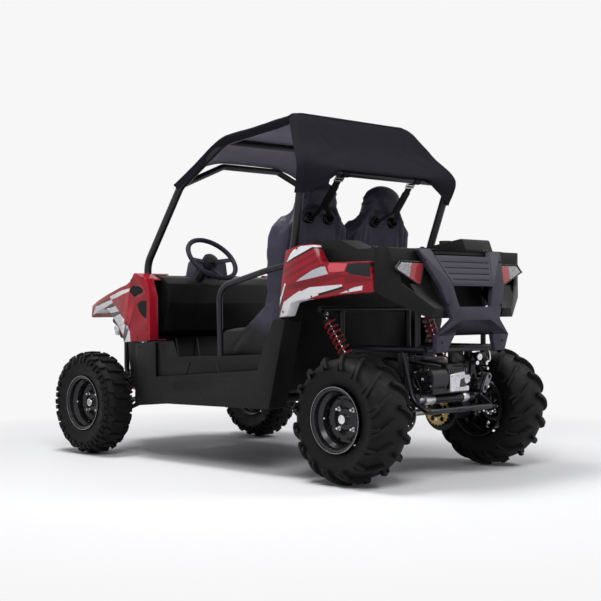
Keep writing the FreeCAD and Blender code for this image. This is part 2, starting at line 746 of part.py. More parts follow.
def make_steering_wheel():
    axis = wheel_axis()
    centre = V(WHEEL_X, WHEEL_Y, WHEEL_Z)
    section = []
    for i in range(8):
        a = math.radians(45 * i + 22.5)
        r = WHEEL_RING_R + WHEEL_GRIP_R * math.cos(a)
        section.append(centre + V(0, 1, 0) * r + axis * (WHEEL_GRIP_R * math.sin(a)))
    grip = Part.Face(rounded_wire(section)).revolve(centre, axis, 360)
    hub = Part.makeCylinder(42, 34, centre - axis * 40, axis)
    across = V(0, 1, 0)
    up = axis.cross(across)
    parts = [grip, hub]
    for angle in (0, 180, 90):
        a = math.radians(angle)
        way = across * math.cos(a) + up * math.sin(a)
        edge = axis.cross(way)
        corners = [centre - axis * 24 + way * 20 + edge * 16, centre + way * WHEEL_RING_R + edge * 12,
                   centre + way * WHEEL_RING_R - edge * 12, centre - axis * 24 + way * 20 - edge * 16]
        parts.append(Part.Face(rounded_wire(corners)).extrude(axis * -5))
    shaft = Part.makeCylinder(10, 200, centre - axis * 230, axis)
    parts.append(shaft)
    return fused(parts)


def make_column():
    axis = wheel_axis()
    centre = V(WHEEL_X, WHEEL_Y, WHEEL_Z)
    jacket = Part.makeCylinder(24, 240, centre - axis * 300, axis)
    bore = Part.makeCylinder(10 + RUNNING_GAP, 190, centre - axis * 240, axis)
    return jacket, bore


# Wheels
def tyre_profile(outer, half_w, rim_half_w):
    seat = RIM_SEAT_R + SEAT_GAP
    lip = RIM_LIP_R + 6
    w = rim_half_w
    return [(seat, -w + 6.5), (lip, -w + 6), (lip + 40, -half_w), (outer - 26, -half_w),
            (outer, -half_w + 26), (outer, half_w - 26), (outer - 26, half_w), (lip + 40, half_w),
            (lip, w - 6), (seat, w - 6.5)]


def rim_profile(rim_half_w, disc_y, hub_r, hub_in):
    """Half section of a steel wheel, open on the outside down to its disc."""
    seat = RIM_SEAT_R
    lip = RIM_LIP_R
    wall = RIM_WALL
    w = rim_half_w
    return [(hub_r, disc_y - hub_in), (hub_r + 18, disc_y - hub_in), (hub_r + 18, disc_y - 6),
            (seat - wall, disc_y - 6), (seat - wall, -w), (lip, -w), (lip, -w + 5), (seat, -w + 5),
            (seat, w - 5), (lip, w - 5), (lip, w), (seat - wall, w), (seat - wall, disc_y),
            (hub_r + 18, disc_y), (hub_r + 18, disc_y + 14), (hub_r, disc_y + 14)]


def make_front_tyre():
    centre = V(FRONT_X, FRONT_HALF_TRACK, FRONT_TYRE_R)
    return ring_about_y(tyre_profile(FRONT_TYRE_R, FRONT_TYRE_W / 2, FRONT_RIM_HALF_W), centre)


def make_front_rim():
    centre = V(FRONT_X, FRONT_HALF_TRACK, FRONT_TYRE_R)
    disc_y = FRONT_RIM_HALF_W - DISC_DEPTH
    return ring_about_y(rim_profile(FRONT_RIM_HALF_W, disc_y, SPINDLE_R + RUNNING_GAP, 36), centre)


def make_rear_tyre():
    centre = V(REAR_X, REAR_HALF_TRACK, REAR_TYRE_R)
    return ring_about_y(tyre_profile(REAR_TYRE_R, REAR_TYRE_W / 2, REAR_RIM_HALF_W), centre)


def make_rear_rim():
    centre = V(REAR_X, REAR_HALF_TRACK, REAR_TYRE_R)
    disc_y = REAR_RIM_HALF_W - DISC_DEPTH
    return ring_about_y(rim_profile(REAR_RIM_HALF_W, disc_y, AXLE_R, 60), centre)


def make_rear_axle():
    reach = REAR_HALF_TRACK + REAR_RIM_HALF_W - DISC_DEPTH + 24
    shaft = rod(V(REAR_X, -reach, REAR_TYRE_R), V(REAR_X, reach, REAR_TYRE_R), AXLE_R)
    sprocket = rod(V(REAR_X, -92, REAR_TYRE_R), V(REAR_X, -84, REAR_TYRE_R), 95)
    carrier = rod(V(REAR_X, -110, REAR_TYRE_R), V(REAR_X, -70, REAR_TYRE_R), 34)
    disc = rod(V(REAR_X, 160, REAR_TYRE_R), V(REAR_X, 165, REAR_TYRE_R), 88)
    disc_hub = rod(V(REAR_X, 145, REAR_TYRE_R), V(REAR_X, 180, REAR_TYRE_R), 34)
    return fused([shaft, sprocket, carrier, disc, disc_hub])


def build():
    parts = {}
    frame = fused([make_frame(), make_rack_housing()])
    parts["frame"] = frame
    hoop = clear_of(make_rear_hoop(), [frame])
    parts["rear_hoop"] = biggest(hoop)
    side = clear_of(make_cage_side(), [hoop, frame])
    side = biggest(side)
    parts["cage_sides"] = both_sides(side)
    sides = [side, mirrored(side)]
    header = make_header()
    parts["cage_header"] = Part.makeCompound([biggest(clear_of(bar, sides)) for bar in header.Solids])

    floor_pan = clear_of(make_floor_pan(), [frame] + sides)
    parts["floor_pan"] = biggest(floor_pan)
    sill = biggest(clear_of(make_sill(), [frame, hoop] + sides))
    parts["sill_left"] = sill
    parts["sill_right"] = mirrored(sill)
    hip = biggest(clear_of(make_hip_bar(), [hoop, sill]))
    parts["hip_bars"] = both_sides(hip)

    fender = biggest(clear_of(make_front_fender(), sides + [sill, frame]))
    parts["front_fender_left"] = fender
    parts["front_fender_right"] = mirrored(fender)
    fenders = [fender, mirrored(fender)]
    parts["hood"] = biggest(clear_of(make_hood(), fenders))
    liner = clear_of(make_front_liner(), fenders)
    parts["front_liners"] = both_sides(biggest(liner))
    jacket, bore = make_column()
    dash = clear_of(make_dashboard(), [parts["floor_pan"], parts["hood"]] + fenders + sides)
    dash = biggest(dash).fuse(jacket).cut(bore)
    parts["dashboard"] = biggest(clear_of(dash, [parts["floor_pan"], parts["hood"]]))
    front_bar = biggest(clear_of(make_bumper(), [frame, parts["hood"]]))
    parts["grille"] = biggest(clear_of(make_grille(), [frame, front_bar, parts["hood"]] + fenders))
    lamp = clear_of(make_headlamps().Solids[0], [parts["hood"]] + fenders)
    parts["headlamps"] = both_sides(biggest(lamp))

    quarter = biggest(clear_of(make_rear_quarter(), [sill, hoop, hip]))
    parts["rear_quarter_left"] = quarter
    parts["rear_quarter_right"] = mirrored(quarter)
    guard = biggest(make_rear_guard())
    lamps = make_tail_lamps()
    panel = biggest(clear_of(make_rear_panel(), [guard, hoop, quarter, frame] + lamps.Solids))
    parts["rear_panels"] = both_sides(panel)
    panels = [panel, mirrored(panel)]
    parts["tail_lamps"] = both_sides(biggest(clear_of(lamps.Solids[0], [guard])))
    tray = biggest(clear_of(make_cargo_tray(), [frame, guard] + panels + hoop.Solids))
    parts["cargo_tray"] = tray
    parts["tailgate"] = biggest(clear_of(make_tailgate(), [guard, tray] + panels))
    parts["rear_guard"] = guard
    parts["fuel_tank"] = biggest(clear_of(make_fuel_tank(), [tray]))

    seat = biggest(clear_of(make_seat(), [parts["floor_pan"]]))
    parts["seat_left"] = seat
    parts["seat_right"] = mirrored(seat)
    harness = clear_of(make_harnesses(), [parts["rear_hoop"], seat, mirrored(seat)])
    parts["harnesses"] = harness
    parts["canopy"] = biggest(clear_of(make_canopy(), [hoop, parts["cage_header"]] + sides))

    parts["engine"] = biggest(clear_of(make_engine(), [frame]))
    parts["exhaust"] = biggest(clear_of(make_exhaust(), [parts["engine"], frame]))
    arm = biggest(clear_of(make_swing_arm(), [frame]))
    parts["swing_arm"] = arm
    shocks = [biggest(clear_of(unit, [frame, arm])) for unit in make_rear_shocks().Solids]
    parts["rear_shocks"] = Part.makeCompound(shocks)
    rear_bar = biggest(clear_of(make_rear_bar(), [frame, parts["engine"]]))
    parts["bumper_bars"] = Part.makeCompound([front_bar, rear_bar])

    arms = make_front_arms()
    parts["front_arms"] = Part.makeCompound([biggest(clear_of(one, [frame])) for one in arms.Solids])
    front_shocks = [biggest(clear_of(unit, [frame] + arms.Solids)) for unit in make_front_shocks().Solids]
    parts["front_shocks"] = Part.makeCompound(front_shocks)
    knuckle = make_knuckle()
    parts["knuckle_left"] = knuckle
    parts["knuckle_right"] = mirrored(knuckle)
    parts["steering_rack"] = make_rack()
    parts["steering_wheel"] = make_steering_wheel()

    rim = make_front_rim()
    parts["rim_front_left"] = rim
    parts["rim_front_right"] = mirrored(rim)
    tyre = make_front_tyre()
    parts["tyre_front_left"] = tyre
    parts["tyre_front_right"] = mirrored(tyre)
    parts["rear_axle"] = make_rear_axle()
    parts["rear_rims"] = both_sides(make_rear_rim())
    parts["rear_tyres"] = both_sides(make_rear_tyre())
    return parts


def main():
    os.makedirs("parts", exist_ok=True)
    parts = build()
    for name, shape in parts.items():
        shape.exportStep("parts/%s.step" % name)
    print(len(parts), "nodes")


main()
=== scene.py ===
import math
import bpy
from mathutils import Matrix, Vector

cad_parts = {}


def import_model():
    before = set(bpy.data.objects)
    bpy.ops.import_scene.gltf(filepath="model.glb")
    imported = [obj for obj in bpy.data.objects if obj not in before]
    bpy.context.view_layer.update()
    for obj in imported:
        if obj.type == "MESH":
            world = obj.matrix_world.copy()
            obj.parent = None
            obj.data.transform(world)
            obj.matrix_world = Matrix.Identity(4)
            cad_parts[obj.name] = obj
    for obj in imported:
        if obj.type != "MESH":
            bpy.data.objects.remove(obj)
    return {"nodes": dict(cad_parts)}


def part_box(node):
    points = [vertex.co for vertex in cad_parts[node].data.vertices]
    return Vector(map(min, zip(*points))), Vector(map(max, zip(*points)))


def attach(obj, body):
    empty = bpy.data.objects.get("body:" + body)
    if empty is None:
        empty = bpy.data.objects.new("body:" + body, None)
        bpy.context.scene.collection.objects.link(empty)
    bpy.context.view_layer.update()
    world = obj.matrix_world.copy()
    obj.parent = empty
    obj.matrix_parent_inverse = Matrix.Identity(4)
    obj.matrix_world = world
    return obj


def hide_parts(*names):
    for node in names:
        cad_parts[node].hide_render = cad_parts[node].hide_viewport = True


bl_info = {
    "name": "Side by side vehicle finishes",
    "version": (1, 0, 0),
    "blender": (4, 5, 0),
    "location": "3D View > Sidebar > Vehicle",
    "description": "Dresses the frame of a two-seat side by side with its tyres, panels, seats and cloth",
    "category": "Object",
}

from contextlib import contextmanager

import bpy
from mathutils import Matrix, Vector, noise

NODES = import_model()["nodes"]
SIDES = ((1, "left"), (-1, "right"))


# Places that the frame gives
def middle(node):
    low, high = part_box(node)
    return (low + high) / 2


def half_size(node):
    low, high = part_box(node)
    return (high - low) / 2


FRONT_HUB = middle("tyre_front_left")
FRONT_RADIUS = half_size("tyre_front_left").z
FRONT_HALF_WIDTH = half_size("tyre_front_left").y
REAR_HUB = middle("rear_axle")
REAR_RADIUS = half_size("rear_tyres").z
REAR_OUTER_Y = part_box("rear_tyres")[1].y
RIM_LIP_RADIUS = half_size("rim_front_left").z
FRONT_RIM_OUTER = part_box("rim_front_left")[1].y
FRONT_RIM_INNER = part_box("rim_front_left")[0].y
REAR_RIM_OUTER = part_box("rear_rims")[1].y
CHAIN_Y = -0.088


# Selecting and editing
def pick(obj):
    """Leaves only this object selected, and active, in object mode."""
    if bpy.context.object and bpy.context.object.mode != "OBJECT":
        bpy.ops.object.mode_set(mode="OBJECT")
    bpy.ops.object.select_all(action="DESELECT")
    obj.select_set(True)
    bpy.context.view_layer.objects.active = obj


@contextmanager
def editing(obj, mode="FACE", everything=True):
    pick(obj)
    bpy.ops.object.mode_set(mode="EDIT")
    bpy.ops.mesh.select_mode(type=mode)
    if everything:
        bpy.ops.mesh.select_all(action="SELECT")
    yield
    bpy.ops.object.mode_set(mode="OBJECT")


def choose(obj, kind, test):
    """Selects, in object mode, only the faces or edges for which the test holds."""
    mesh = obj.data
    for group in (mesh.vertices, mesh.edges, mesh.polygons):
        group.foreach_set("select", [False] * len(group))
    for item in getattr(mesh, kind):
        item.select = test(item)


def settle(obj):
    """Puts the object's place, turn and scale into its mesh."""
    pick(obj)
    bpy.ops.object.transform_apply(location=True, rotation=True, scale=True)
    return obj


def refine(obj, kind, **settings):
    """Adds a modifier, sets it and applies it."""
    pick(obj)
    modifier = obj.modifiers.new(kind.title(), kind)
    for name, value in settings.items():
        setattr(modifier, name, value)
    bpy.ops.object.modifier_apply(modifier=modifier.name)
    return obj


def soften(obj, width, segments=2, angle=30.0):
    return refine(obj, "BEVEL", width=width, segments=segments, limit_method="ANGLE",
                  angle_limit=math.radians(angle), use_clamp_overlap=False, harden_normals=False)


def face_out(obj):
    with editing(obj):
        bpy.ops.mesh.remove_doubles(threshold=1e-5)
        bpy.ops.mesh.normals_make_consistent(inside=False)
    return obj


def joined(objects):
    """One object from several, named after the first."""
    pick(objects[0])
    for obj in objects:
        obj.select_set(True)
    bpy.ops.object.join()
    return bpy.context.view_layer.objects.active


def duplicate(obj, matrix):
    """A copy with its own mesh, moved by the matrix."""
    twin = bpy.data.objects.new(obj.name, obj.data.copy())
    bpy.context.collection.objects.link(twin)
    twin.data.transform(matrix)
    if matrix.determinant() < 0:
        twin.data.flip_normals()
    return twin


MIRROR = Matrix.Diagonal((1, -1, 1, 1))


def with_mirror(obj):
    return joined([obj, duplicate(obj, MIRROR)])


def done(obj, name, finish, replaces=(), body="chassis", smooth=35.0):
    """Names and finishes a piece, and hands it to its body."""
    pick(obj)
    bpy.ops.object.shade_smooth_by_angle(angle=math.radians(smooth))
    obj.name = name
    obj.data.name = name
    if finish:
        obj.data.materials.clear()
        obj.data.materials.append(finish_named(finish))
    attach(obj, body)
    if replaces:
        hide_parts(*replaces)
    return obj


def mirrored_pair(obj, name, finish, node, smooth=35.0):
    """Finishes the left piece and its mirror image as two pieces that stand for two nodes."""
    twin = duplicate(obj, MIRROR)
    for piece, word in ((obj, "left"), (twin, "right")):
        done(piece, name.format(word), finish, [node + "_" + word], smooth=smooth)
    return obj, twin


# Basic forms
def outline_solid(points, axis, low, high):
    """Solid from an outline of pairs, across the axis, between low and high along it."""
    bpy.ops.mesh.primitive_circle_add(vertices=len(points), fill_type="NGON")
    obj = bpy.context.object
    place = {"x": lambda a, b: (low, a, b), "y": lambda a, b: (a, low, b), "z": lambda a, b: (a, b, low)}[axis]
    for vertex, pair in zip(obj.data.vertices, points):
        vertex.co = place(*pair)
    along = [high - low if axis == name else 0.0 for name in "xyz"]
    with editing(obj):
        bpy.ops.mesh.extrude_region_move(TRANSFORM_OT_translate={"value": along})
    return face_out(obj)


def lathe(profile, centre, axis=(0, 1, 0), steps=72):
    """Solid of revolution from a closed loop of (radius, along) points, about the axis through the centre."""
    bpy.ops.mesh.primitive_circle_add(vertices=len(profile), fill_type="NOTHING")
    obj = bpy.context.object
    way = Vector(axis).normalized()
    out = way.orthogonal().normalized()
    for vertex, (radius, along) in zip(obj.data.vertices, profile):
        vertex.co = out * radius + way * along
    with editing(obj, "VERT"):
        bpy.ops.mesh.spin(steps=steps, angle=2 * math.pi, center=(0, 0, 0), axis=way)
    face_out(obj)
    obj.location = centre
    return settle(obj)


def rod(start, end, radius, sides=16):
    start = Vector(start)
    way = Vector(end) - start
    bpy.ops.mesh.primitive_cylinder_add(vertices=sides, radius=radius, depth=way.length)
    obj = bpy.context.object
    turn = way.to_track_quat("Z", "Y").to_matrix().to_4x4()
    obj.data.transform(Matrix.Translation(start + way / 2) @ turn)
    return obj


def block(low, high):
    low = Vector(low)
    high = Vector(high)
    bpy.ops.mesh.primitive_cube_add(size=1, location=(low + high) / 2)
    obj = bpy.context.object
    obj.scale = high - low
    return settle(obj)


def pipe(points, radius, resolution=6, closed=False):
    """Bent tube, or a ring, along a smooth line through the points, as a mesh."""
    curve = bpy.data.curves.new("pipe", "CURVE")
    curve.dimensions = "3D"
    curve.bevel_depth = radius
    curve.bevel_resolution = 3
    curve.use_fill_caps = not closed
    curve.resolution_u = resolution
    line = curve.splines.new("NURBS")
    line.points.add(len(points) - 1)
    for point, place in zip(line.points, points):
        point.co = (*place, 1)
    line.order_u = 3
    line.use_endpoint_u = not closed
    line.use_cyclic_u = closed
    obj = bpy.data.objects.new("pipe", curve)
    bpy.context.collection.objects.link(obj)
    pick(obj)
    bpy.ops.object.convert(target="MESH")
    return bpy.context.object


def coil(start, end, radius, wire, rounds, steps=20):
    """Helical spring from start to end, made by a screw of its wire's section."""
    start = Vector(start)
    way = Vector(end) - start
    bpy.ops.mesh.primitive_circle_add(vertices=8, radius=wire, fill_type="NOTHING",
                                      location=(radius, 0, 0), rotation=(math.pi / 2, 0, 0))
    obj = settle(bpy.context.object)
    refine(obj, "SCREW", axis="Z", angle=2 * math.pi, screw_offset=way.length / rounds, iterations=rounds,
           steps=steps, render_steps=steps, use_merge_vertices=False)
    with editing(obj, "EDGE", everything=False):
        bpy.ops.mesh.select_all(action="DESELECT")
        bpy.ops.mesh.select_non_manifold()
        bpy.ops.mesh.edge_face_add()
    turn = way.to_track_quat("Z", "Y").to_matrix().to_4x4()
    obj.data.transform(Matrix.Translation(start) @ turn)
    return face_out(obj)


def hex_bolt(place, way, size, height):
    """Hexagon head with its washer, standing on the place."""
    place = Vector(place)
    way = Vector(way).normalized()
    washer = rod(place, place + way * height * 0.25, size * 0.78, 14)
    head = rod(place + way * height * 0.2, place + way * height, size * 0.58, 6)
    soften(head, size * 0.06, 1)
    return joined([washer, head])


def from_node(node, edge):
    """A copy of a CAD node with its triangles merged into clean faces and its edges softly rounded."""
    source = NODES[node]
    obj = bpy.data.objects.new(node + "_skin", source.data.copy())
    bpy.context.collection.objects.link(obj)
    with editing(obj, "VERT"):
        bpy.ops.mesh.remove_doubles(threshold=2e-5)
        bpy.ops.mesh.dissolve_limited(angle_limit=math.radians(1.0))
    if edge:
        soften(obj, edge, 2, 25)
    return obj


def rounded(points, axis, low, high, radius, segments=3, angle=30):
    """Solid from an outline, with its edges rounded."""
    return soften(outline_solid(points, axis, low, high), radius, segments, angle)


def soft_block(low, high, radius, segments=2):
    """Block with its edges rounded."""
    return soften(block(low, high), radius, segments)


def turns(count, start=0.0):
    """Angles that share out a full turn."""
    return [start + 2 * math.pi * i / count for i in range(count)]


def around(centre, radius, count, start=0.0):
    """Places round an axle that lies along Y."""
    return [centre + Vector((radius * math.sin(angle), 0, radius * math.cos(angle))) for angle in turns(count, start)]


def cut_by(obj, tool):
    """Takes the tool's volume out of the object."""
    refine(obj, "BOOLEAN", operation="DIFFERENCE", object=tool, solver="EXACT")
    bpy.data.objects.remove(tool)
    return obj


def drilled(obj, spots, half_way, radius, sides):
    """Cuts a round hole through the object at each spot."""
    for spot in spots:
        cut_by(obj, rod(spot - half_way, spot + half_way, radius, sides))
    return obj


def smooth_through(points, t):
    """Point on a smooth curve through the points. t counts them from 0."""
    i = min(int(t), len(points) - 2)
    f = t - i
    before, here = points[max(i - 1, 0)], points[i]
    there, after = points[i + 1], points[min(i + 2, len(points) - 1)]
    return 0.5 * (2 * here + (there - before) * f + (2 * before - 5 * here + 4 * there - after) * f * f
                  + (3 * here - before - 3 * there + after) * f ** 3)


def loft(rows, lengthways, crossways):
    """Grid stretched smoothly over rows of points."""
    bpy.ops.mesh.primitive_grid_add(x_subdivisions=lengthways, y_subdivisions=crossways, size=1)
    sheet = bpy.context.object
    for vertex in sheet.data.vertices:
        along = (vertex.co.x + 0.5) * (len(rows) - 1)
        across = (vertex.co.y + 0.5) * (len(rows[0]) - 1)
        vertex.co = smooth_through([smooth_through(row, across) for row in rows], along)
    sheet.data.update()
    return sheet


# Shader maths
class Sock:
    """Wraps a node's output socket, so that shader maths is written as Python expressions."""

    def __init__(self, finish, socket):
        self.finish = finish
        self.socket = socket

    def __add__(self, other):
        return self.finish.maths("ADD", self, other)

    def __sub__(self, other):
        return self.finish.maths("SUBTRACT", self, other)

    def __rsub__(self, other):
        return self.finish.maths("SUBTRACT", other, self)

    def __mul__(self, other):
        return self.finish.maths("MULTIPLY", self, other)

    def __truediv__(self, other):
        return self.finish.maths("DIVIDE", self, other)

    __radd__ = __add__
    __rmul__ = __mul__


class Finish:
    """A new material, with its Principled shader and the methods that add nodes to it."""

    def __init__(self, name, colour, roughness, **constants):
        self.material = bpy.data.materials.new(name)
        self.material.use_nodes = True
        self.tree = self.material.node_tree
        self.shader = self.tree.nodes["Principled BSDF"]
        self.shader.inputs["Base Color"].default_value = (*colour, 1)
        self.shader.inputs["Roughness"].default_value = roughness
        for label, value in constants.items():
            self.shader.inputs[label.replace("_", " ").title().replace("Ior", "IOR")].default_value = value
        self.colour = colour
        self.place = self.node("ShaderNodeTexCoord")["Object"]

    def plug(self, value, socket):
        if isinstance(value, Sock):
            self.tree.links.new(value.socket, socket)
        elif value is not None:
            size = len(socket.default_value) if hasattr(socket.default_value, "__len__") else 0
            if size == 4 and len(value) == 3:
                value = (*value, 1)
            socket.default_value = value

    def node(self, kind, settings=None, values=None):
        """Adds a node of any kind, and returns its outputs by name and by place."""
        node = self.tree.nodes.new(kind)
        for label, value in (settings or {}).items():
            if label == "stops":
                ramp = node.color_ramp
                while len(ramp.elements) < len(value):
                    ramp.elements.new(0.5)
                for element, (position, shade) in zip(ramp.elements, value):
                    element.position = position
                    element.color = (*shade, 1)
            else:
                setattr(node, label, value)
        for label, value in (values or {}).items():
            self.plug(value, node.inputs[label])
        outputs = {socket.name: Sock(self, socket) for socket in node.outputs}
        outputs.update({i: Sock(self, socket) for i, socket in enumerate(node.outputs)})
        return outputs

    def maths(self, operation, *values, clamp=False):
        settings = {"operation": operation, "use_clamp": clamp}
        return self.node("ShaderNodeMath", settings, dict(enumerate(values)))[0]

    def noise(self, scale, detail=3.0, roughness=0.5):
        values = {"Vector": self.place, "Scale": scale, "Detail": detail, "Roughness": roughness}
        return self.node("ShaderNodeTexNoise", None, values)["Fac"]

    def span(self, value, low, high, start=0.0, end=1.0):
        """Maps low to high onto start to end, and stops there."""
        values = {"Value": value, "From Min": low, "From Max": high, "To Min": start, "To Max": end}
        return self.node("ShaderNodeMapRange", {"clamp": True}, values)[0]

    def blend(self, mask, first, second):
        """Colour that goes from the first to the second as the mask goes from 0 to 1."""
        return self.node("ShaderNodeMix", {"data_type": "RGBA"}, {0: mask, 6: first, 7: second})[2]

    def axis(self, name):
        return self.node("ShaderNodeSeparateXYZ", None, {0: self.place})[name]

    def slant(self, x, z):
        """Distance along a direction in the side view."""
        return self.node("ShaderNodeVectorMath", {"operation": "DOT_PRODUCT"},
                         {0: self.place, 1: (x, 0.0, z)})["Value"]

    def bump(self, height, depth, strength=1.0, chain=None):
        values = {"Height": height, "Distance": depth, "Strength": strength, "Normal": chain}
        return self.node("ShaderNodeBump", None, values)["Normal"]

    def send(self, socket, value):
        self.plug(value, self.shader.inputs[socket])

    def patch(self, points, blur=0.0012):
        """Mask of a convex outline of (x, z) points in the side view."""
        area = sum(a[0] * b[1] - b[0] * a[1] for a, b in zip(points, points[1:] + points[:1]))
        turn = 1.0 if area > 0 else -1.0
        least = None
        for (x0, z0), (x1, z1) in zip(points, points[1:] + points[:1]):
            length = math.hypot(x1 - x0, z1 - z0)
            nx = -(z1 - z0) / length * turn
            nz = (x1 - x0) / length * turn
            gap = self.slant(nx, nz) - (x0 * nx + z0 * nz)
            least = gap if least is None else self.maths("MINIMUM", least, gap)
        return self.maths("MULTIPLY", self.maths("ADD", least, blur / 2), 1.0 / blur, clamp=True)


def grain(finish, scale=900.0, depth=0.00025, spread=0.08):
    """Fine moulded grain: a bump, and a roughness that varies a little over the part."""
    fine = finish.noise(scale, 2.0)
    broad = finish.noise(9.0, 4.0)
    base = finish.shader.inputs["Roughness"].default_value
    finish.send("Normal", finish.bump(fine, depth, 0.6))
    finish.send("Roughness", finish.span(broad, 0.3, 0.7, base - spread, base + spread))
    return broad


def scaled(colour, share):
    return tuple(c * share for c in colour)


def shade_by(finish, mask, dark, light):
    """Varies the base colour between a darker and a lighter share of itself."""
    finish.send("Base Color", finish.blend(mask, scaled(finish.colour, dark), scaled(finish.colour, light)))


# Finishes
def moulded(name, colour, roughness):
    """Grained black or grey moulded plastic, a little paler in places."""
    finish = Finish(name, colour, roughness, specular_ior_level=0.17)
    broad = grain(finish)
    shade_by(finish, finish.span(broad, 0.35, 0.7), 0.8, 1.3)
    return finish.material


def painted_tube(name, colour, roughness):
    """Powder coat with a slight orange peel."""
    finish = Finish(name, colour, roughness, specular_ior_level=0.3, coat_weight=0.1, coat_roughness=0.2)
    peel = finish.noise(420.0, 1.5)
    broad = finish.noise(6.0, 3.0)
    finish.send("Normal", finish.bump(peel, 0.0004, 0.35))
    finish.send("Roughness", finish.span(broad, 0.3, 0.7, roughness - 0.06, roughness + 0.08))
    shade_by(finish, broad, 0.8, 1.3)
    return finish.material


WHITE = (0.78, 0.77, 0.79)
DECAL_BLACK = (0.008, 0.008, 0.009)
PALE_RED = (0.62, 0.09, 0.12)
DEEP_RED = (0.16, 0.006, 0.014)

QUARTER_STRIPES = (
    ("swoosh", [(-0.606, 0.862), (-0.634, 0.88), (-0.705, 0.915), (-0.752, 0.928), (-0.775, 0.929),
                (-0.794, 0.895), (-0.724, 0.884)]),
    ("deep", [(-0.552, 0.854), (-0.724, 0.884), (-0.877, 0.893), (-0.882, 0.852), (-0.689, 0.841),
              (-0.557, 0.811)]),
    ("deep", [(-0.877, 0.893), (-1.024, 0.872), (-1.024, 0.86), (-0.882, 0.852)]),
    ("white", [(-0.581, 0.992), (-0.599, 1.006), (-0.643, 1.022), (-0.729, 1.024), (-0.658, 0.996),
               (-0.55, 0.953)]),
    ("black", [(-0.55, 0.953), (-0.658, 0.996), (-0.729, 1.024), (-0.745, 1.016), (-0.658, 0.985),
               (-0.548, 0.942)]),
    ("white", [(-0.494, 0.698), (-0.529, 0.777), (-0.583, 0.775), (-0.544, 0.703)]),
    ("white", [(-0.529, 0.777), (-0.637, 0.828), (-0.66, 0.785), (-0.583, 0.765)]),
    ("white", [(-0.637, 0.822), (-0.689, 0.841), (-0.867, 0.85), (-0.869, 0.843), (-0.66, 0.785)]),
    ("black", [(-0.735, 0.813), (-0.869, 0.841), (-0.878, 0.832), (-0.743, 0.803)]),
    ("white", [(-0.766, 0.806), (-0.88, 0.829), (-0.932, 0.837), (-0.978, 0.852), (-0.973, 0.824),
               (-0.858, 0.812)]),
    ("inset", [(-0.886, 0.905), (-0.9, 0.938), (-1.016, 0.939), (-1.017, 0.878), (-0.914, 0.892)]),
    ("pale", [(-0.79, 0.925), (-0.802, 0.943), (-0.896, 0.939), (-0.879, 0.905), (-0.798, 0.904)]),
    ("black", [(-0.473, 0.701), (-0.492, 0.701), (-0.546, 0.845), (-0.539, 0.848)]),
    ("white", [(-0.459, 0.696), (-0.472, 0.697), (-0.545, 0.858), (-0.536, 0.861)]),
)

FENDER_STRIPES = (
    ("white", [(0.78, 0.713), (0.703, 0.728), (0.664, 0.699), (0.672, 0.677), (0.716, 0.662)]),
    ("white", [(0.716, 0.662), (0.659, 0.677), (0.632, 0.663), (0.617, 0.636), (0.675, 0.621)]),
    ("white", [(0.675, 0.621), (0.617, 0.636), (0.611, 0.578), (0.665, 0.571)]),
    ("white", [(0.852, 0.757), (0.753, 0.769), (0.715, 0.742), (0.806, 0.732)]),
    ("white", [(1.022, 0.715), (0.98, 0.768), (0.798, 0.803), (0.773, 0.778), (0.851, 0.76), (0.939, 0.74)]),
    ("white", [(0.798, 0.803), (0.733, 0.814), (0.623, 0.843), (0.613, 0.859), (0.683, 0.849),
               (0.818, 0.818)]),
    ("black", [(0.812, 0.73), (0.709, 0.741), (0.703, 0.728), (0.785, 0.708)]),
    ("black", [(0.851, 0.762), (0.812, 0.779), (0.76, 0.774), (0.753, 0.769), (0.822, 0.757)]),
    ("black", [(0.966, 0.775), (0.838, 0.806), (0.828, 0.802), (0.956, 0.771)]),
)


def gloss_panel(name, colour, stripes=(), streak=None):
    """Gloss moulded plastic in red, with its printed stripes as masks in the side view."""
    finish = Finish(name, colour, 0.3, specular_ior_level=0.22, coat_roughness=0.08)
    peel = finish.noise(260.0, 1.5)
    broad = finish.noise(5.0, 4.0)
    tone = finish.blend(finish.span(broad, 0.3, 0.7), scaled(colour, 0.85), colour)
    if streak:
        (sx, sz), low, high = streak
        ripple = finish.maths("FRACT", finish.slant(sx, sz) * 31.0)
        band = finish.maths("LESS_THAN", ripple, 0.42)
        height = finish.axis("Z")
        zone = finish.span(height, low, low + 0.02) * finish.span(height, high - 0.02, high, 1.0, 0.0)
        tone = finish.blend(band * zone * 0.85, tone, DEEP_RED)
    gloss = finish.span(broad, 0.3, 0.7, 0.22, 0.34)
    coat = 0.16
    shades = {"white": WHITE, "black": DECAL_BLACK, "deep": scaled(colour, 0.55), "pale": PALE_RED,
              "inset": (0.014, 0.014, 0.016), "swoosh": (0.5, 0.5, 0.54)}
    for kind, points in stripes:
        mask = finish.patch(points)
        tone = finish.blend(mask, tone, shades[kind])
        if kind == "inset":
            gloss = gloss + (0.55 - gloss) * mask
            coat = (1.0 - mask) * coat
    finish.send("Base Color", tone)
    finish.send("Roughness", gloss)
    finish.send("Coat Weight", coat)
    finish.send("Normal", finish.bump(peel, 0.0005, 0.12))
    return finish.material


def rubber(name, colour=(0.0045, 0.0045, 0.005)):
    """Tyre rubber with fine grain and a little dust."""
    finish = Finish(name, colour, 0.5, specular_ior_level=0.16)
    fine = finish.noise(700.0, 3.0)
    dust = finish.noise(14.0, 6.0, 0.65)
    finish.send("Normal", finish.bump(fine, 0.0006, 0.5))
    finish.send("Roughness", finish.span(dust, 0.35, 0.7, 0.5, 0.78))
    finish.send("Base Color", finish.blend(finish.span(dust, 0.5, 0.85, 0.0, 0.3), colour, (0.03, 0.029, 0.028)))
    return finish.material


